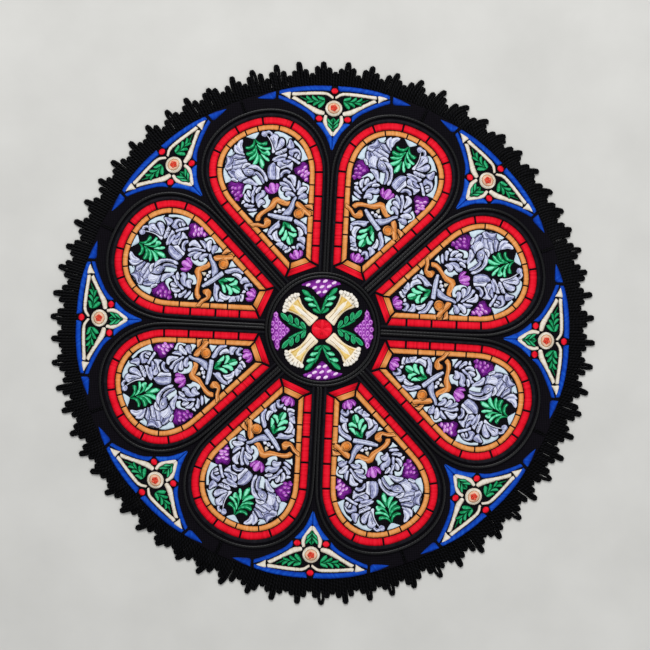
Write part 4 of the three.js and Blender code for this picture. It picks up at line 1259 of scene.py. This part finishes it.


# Mercerised cotton cord, dyed black: painted shade between the plies and a painted highlight on
# their tops, with a silky shine along them.
black_cord = new_material(
    "black mercerised cord",
    lambda made: cord_colour(made, [(0.25, "#010102"), (0.7, "#040406"), (1.0, "#0c0b10")]),
    ply_normal, Roughness=0.4, Specular_IOR_Level=0.26)
# Spun cotton cord, dyed black: matt, so the joints and the fringe are the mat's darkest parts.
# It has the same painted shade between its plies and painted highlight on their tops.
spun_cotton = new_material(
    "black spun cotton cord",
    lambda made: cord_colour(made, [(0.2, "#000000"), (0.7, "#040405"), (1.0, "#16161b")]),
    ply_normal, Roughness=0.5, Specular_IOR_Level=0.05)


def tube(path, half_width, half_height, closed, phase=0.0, bulge=BULGE):
    """Carries an ellipse along a path of points (n, 3) in mm, in a plane square to it.

    Its two plies make two bulges round the ellipse, as the size of a cosine, that turn once for
    each pitch. The two ends of an open tube run together to a small flat.
    Gives points in metres, faces, and each face's map corners in turns along and round it.
    """
    run = np.gradient(path, axis=0)
    if closed:
        run = np.roll(path, -1, axis=0) - np.roll(path, 1, axis=0)
    run /= np.linalg.norm(run, axis=1)[:, None]
    side = np.cross(run, (0, 0, 1))
    side /= np.linalg.norm(side, axis=1)[:, None]
    up = np.cross(side, run)
    arc = np.concatenate([[0], np.cumsum(np.linalg.norm(np.diff(path, axis=0), axis=1))])
    whole = arc[-1] + (np.linalg.norm(path[0] - path[-1]) if closed else 0)
    turns = arc / whole * max(1, round(whole / CORD_PITCH)) + phase
    angle = 2 * np.pi * np.arange(CORD_SIDES) / CORD_SIDES - np.pi / 2
    size = 1 - bulge + bulge * PLY_RISE * np.abs(np.cos(angle - 2 * np.pi * turns[:, None]))
    if not closed:
        size *= np.minimum(1, CORD_END + np.minimum(arc, arc[-1] - arc) / half_width)[:, None]
    points = path[:, None] \
        + side[:, None] * (half_width * size * np.cos(angle))[..., None] \
        + up[:, None] * (half_height * size * np.sin(angle))[..., None]
    rows = len(path)
    faces = grid_faces(rows, CORD_SIDES, wrap=True)
    along, around = np.meshgrid(turns, np.arange(CORD_SIDES + 1) / CORD_SIDES - 0.25, indexing="ij")
    spots = np.stack([along, around], axis=-1)
    if closed:
        first = np.arange(CORD_SIDES)
        last = first + (rows - 1) * CORD_SIDES
        faces = np.vstack([faces, np.stack([last, first, np.roll(first, -1), np.roll(last, -1)], axis=-1)])
        spots = np.concatenate([spots, spots[:1] + (turns[-1] + turns[1] - 2 * turns[0], 0)])
    maps = np.stack([spots[:-1, :-1], spots[1:, :-1], spots[1:, 1:], spots[:-1, 1:]], axis=2)
    maps = maps.reshape(-1, 4, 2)
    if not closed:
        cap = np.array([
            [k, k + 1, CORD_SIDES - 2 - k, CORD_SIDES - 1 - k] for k in range(CORD_SIDES // 2 - 1)])
        faces = np.vstack([faces, cap, cap[:, ::-1] + (rows - 1) * CORD_SIDES])
        maps = np.concatenate([maps, np.zeros((2 * len(cap), 4, 2))])
    return points.reshape(-1, 3) * MM, faces, maps


def joined(tubes):
    """Puts several tubes' points, faces and maps together."""
    starts = np.cumsum([0, *(len(points) for points, _, _ in tubes)])
    return (
        np.vstack([points for points, _, _ in tubes]),
        np.vstack([faces + start for start, (_, faces, _) in zip(starts, tubes)]),
        np.concatenate([maps for _, _, maps in tubes]))


def cord_piece(name, tubes, node, turn=0.0, material=black_cord):
    """Makes several cords one piece, turned about the mat's centre, that replaces a CAD node."""
    points, faces, maps = joined(tubes)
    points[:, :2] = turn_flat(points[:, :2], turn)
    piece = make_mesh(name, points, faces, [material], maps=maps)
    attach(piece, "root")
    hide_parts(node)
    return piece


def spaced(flat_path, height, step, closed):
    """A flat path as points (n, 3) about a step apart."""
    if closed:
        flat_path = np.vstack([flat_path, flat_path[:1]])
    length = lengths_along(flat_path)[-1]
    places = np.linspace(0, length, round(length / step), endpoint=not closed)
    return np.column_stack([cut(flat_path, places), np.full(len(places), height)])


braid_tubes = [tube(
    spaced(offset_outline(*CORD_REACH), CORD_Z, CORD_STEP, closed=False), *BRAID_CORD, closed=False)]
joint_tubes = [
    tube(spaced(np.array([(x, end) for end in JOINT_RUN]), JOINT_Z, CORD_STEP, closed=False),
         *JOINT_CORD, closed=False)
    for x in JOINT_CORDS]
circle = np.linspace(0, 2 * np.pi, 720, endpoint=False)
ring_tubes = [
    tube(spaced(radius * np.column_stack([np.cos(circle), np.sin(circle)]), CORD_Z, CORD_STEP, closed=True),
         *BRAID_CORD, closed=True, phase=phase)
    for radius, phase in RING_CORDS]
braids = [cord_piece("medallion_cords", ring_tubes, "medallion_braid")]
for k, turn in enumerate(LIGHT_TURNS):
    braids.append(cord_piece(f"light_cords_{k + 1}", braid_tubes, f"light_braid_{k + 1}", turn))
    braids.append(cord_piece(
        f"joint_cords_{k + 1}", joint_tubes, f"joint_cord_{k + 1}", turn, material=spun_cotton))


# The looped cord fringe
# A tape of black cotton carries 280 loops of twisted cord, in turn long, middle, short, middle.
# It is caught between the lining and the face cloth, and the loops lie out on the table.
LOOPS = 280
LOOP_REACHES = (20.4, 15.2, 12.0, 15.2)     # mm beyond the cloth's edge
REACH_DRIFT = 0.7       # mm, more or less, that a loop is longer or shorter
LOOP_STEP = 1.15        # mm from one ring of points to the next
FRINGE_CORD = (1.25, 0.85)      # half its width and half its height, in mm
FRINGE_BULGE = 0.12     # of its width, by which it is thinner between its plies
STRAND_GAP = 2.12       # mm between the middles of a loop's two strands
LOOP_LEAN = 0.13        # in radians, more or less, how far neighbouring loops' ends turn aside
LOOP_SWAY = 0.05        # in radians, more or less, how far a loop bends to and fro
LOOP_SWEEPS = (1.0, 0.72)       # and how far clockwise they are swept, first and third quarter
SWEEP_START = math.radians(5)   # from +X, where the first of those quarters starts
LOOP_EYE = 0.22         # mm, more or less, that each side of a long loop's eye opens
EYED_REACH = 0.9        # of the longest reach, from which a loop has an eye
LOOP_LIFT = 1.2         # mm that the longest loops lie over their neighbours
LOOP_ROOT = CLOTH_RADIUS - 1.2          # mm from the mat's centre to where a loop starts, in the rim
LOOP_HEIGHT = 0.95      # mm from the table to the middle of its cord
TAPE_INSIDE = 174.1     # mm from the mat's centre to the tape's inner edge
TAPE_UNDER = 0.05       # mm from the table to the tape's underside
TAPE_TOP = 1.45         # and to its top
TAPE_EDGE = (0.5, 0.3)  # mm in from the rim, and up from the table and down from the top, of its bevels


def loop_path(number, lean, random):
    """One loop as a path of points (n, 3) in mm.

    Out along one strand, half a turn at the end, and back along the other. The middle line leaves
    the rim straight, sways once, and turns aside more and more on the way out: a little at random,
    and in two quarters of the rim far and clockwise. There the longer loops rise over the shorter
    ones, as a sine squared along them. Elsewhere the longest loops' eyes open a little.
    """
    place = 2 * math.pi * number / LOOPS
    longest, shortest = max(LOOP_REACHES), min(LOOP_REACHES)
    reach = min(LOOP_REACHES[number % len(LOOP_REACHES)] + random.normal(0, REACH_DRIFT), longest)
    length = CLOTH_RADIUS + reach - FRINGE_CORD[0] - STRAND_GAP / 2 - LOOP_ROOT
    swept = max(0, math.sin(2 * (place - SWEEP_START))) ** 2
    sweep = lean - LOOP_SWEEPS[int(place > math.pi)] * swept
    sway, opening = random.normal(0, LOOP_SWAY), abs(random.normal(0, LOOP_EYE))
    out = np.linspace(0, 1, 24)
    bend = sweep * (out * length / longest) ** 1.5 + sway * np.sin(2 * np.pi * out)
    run = np.column_stack([np.cos(bend), np.sin(bend)])
    side = np.column_stack([-run[:, 1], run[:, 0]])
    steps = length / (len(out) - 1) * (run[1:] + run[:-1]) / 2
    middle = np.vstack([[0, 0], np.cumsum(steps, axis=0)]) + (LOOP_ROOT, 0)
    eye = opening * (1 - swept) * (reach > EYED_REACH * longest) * np.sin(np.pi * out**3) ** 2
    strand = side * (STRAND_GAP / 2 + eye)[:, None]
    half_turn = np.linspace(0, np.pi, 9)[1:-1, None]
    end = middle[-1] + STRAND_GAP / 2 * (np.cos(half_turn) * side[-1] + np.sin(half_turn) * run[-1])
    flat = np.vstack([middle + strand, end, (middle - strand)[::-1]])
    path = spaced(turn_flat(flat, place), LOOP_HEIGHT, LOOP_STEP, closed=False)
    share = (np.hypot(path[:, 0], path[:, 1]) - LOOP_ROOT) / length
    over = LOOP_LIFT * swept * (reach - shortest) / (longest - shortest)
    path[:, 2] += max(0, over) * np.sin(np.pi * share.clip(0, 1)) ** 2
    return path


fringe_random = np.random.default_rng(11)
# each loop leans by the sum of four draws, three of which it shares with the loop beside it
draws = fringe_random.normal(0, LOOP_LEAN / 2, LOOPS)
leans = sum(np.roll(draws, shift) for shift in range(4))
fringe_tubes = []
for number, lean in enumerate(leans):
    path = loop_path(number, lean, fringe_random)
    phase = fringe_random.random()
    fringe_tubes.append(tube(path, *FRINGE_CORD, closed=False, phase=phase, bulge=FRINGE_BULGE))
fringe = cord_piece("fringe_cords", fringe_tubes, "fringe", material=spun_cotton)

edge_in, edge_up = TAPE_EDGE
tape_points, tape_faces = revolve(*np.transpose([
    (TAPE_INSIDE, TAPE_UNDER), (CLOTH_RADIUS - edge_in, TAPE_UNDER), (CLOTH_RADIUS, edge_up),
    (CLOTH_RADIUS, TAPE_TOP - edge_up), (CLOTH_RADIUS - edge_in, TAPE_TOP), (TAPE_INSIDE, TAPE_TOP),
    (TAPE_INSIDE, TAPE_UNDER)]), CLOTH_SIDES)
heading_tape = make_mesh("heading_tape", tape_points, tape_faces, [black_cotton])
close_seams(heading_tape)
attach(heading_tape, "root")
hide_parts("fringe")


# The two cloths, and the finish of the script
# The embroidery, the braids and the fringe are sewn to the two cloths and move with them.
for cloth, node in ((face_cloth, "face_cloth"), (lining_cloth, "lining")):
    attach(cloth, "root")
    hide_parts(node)
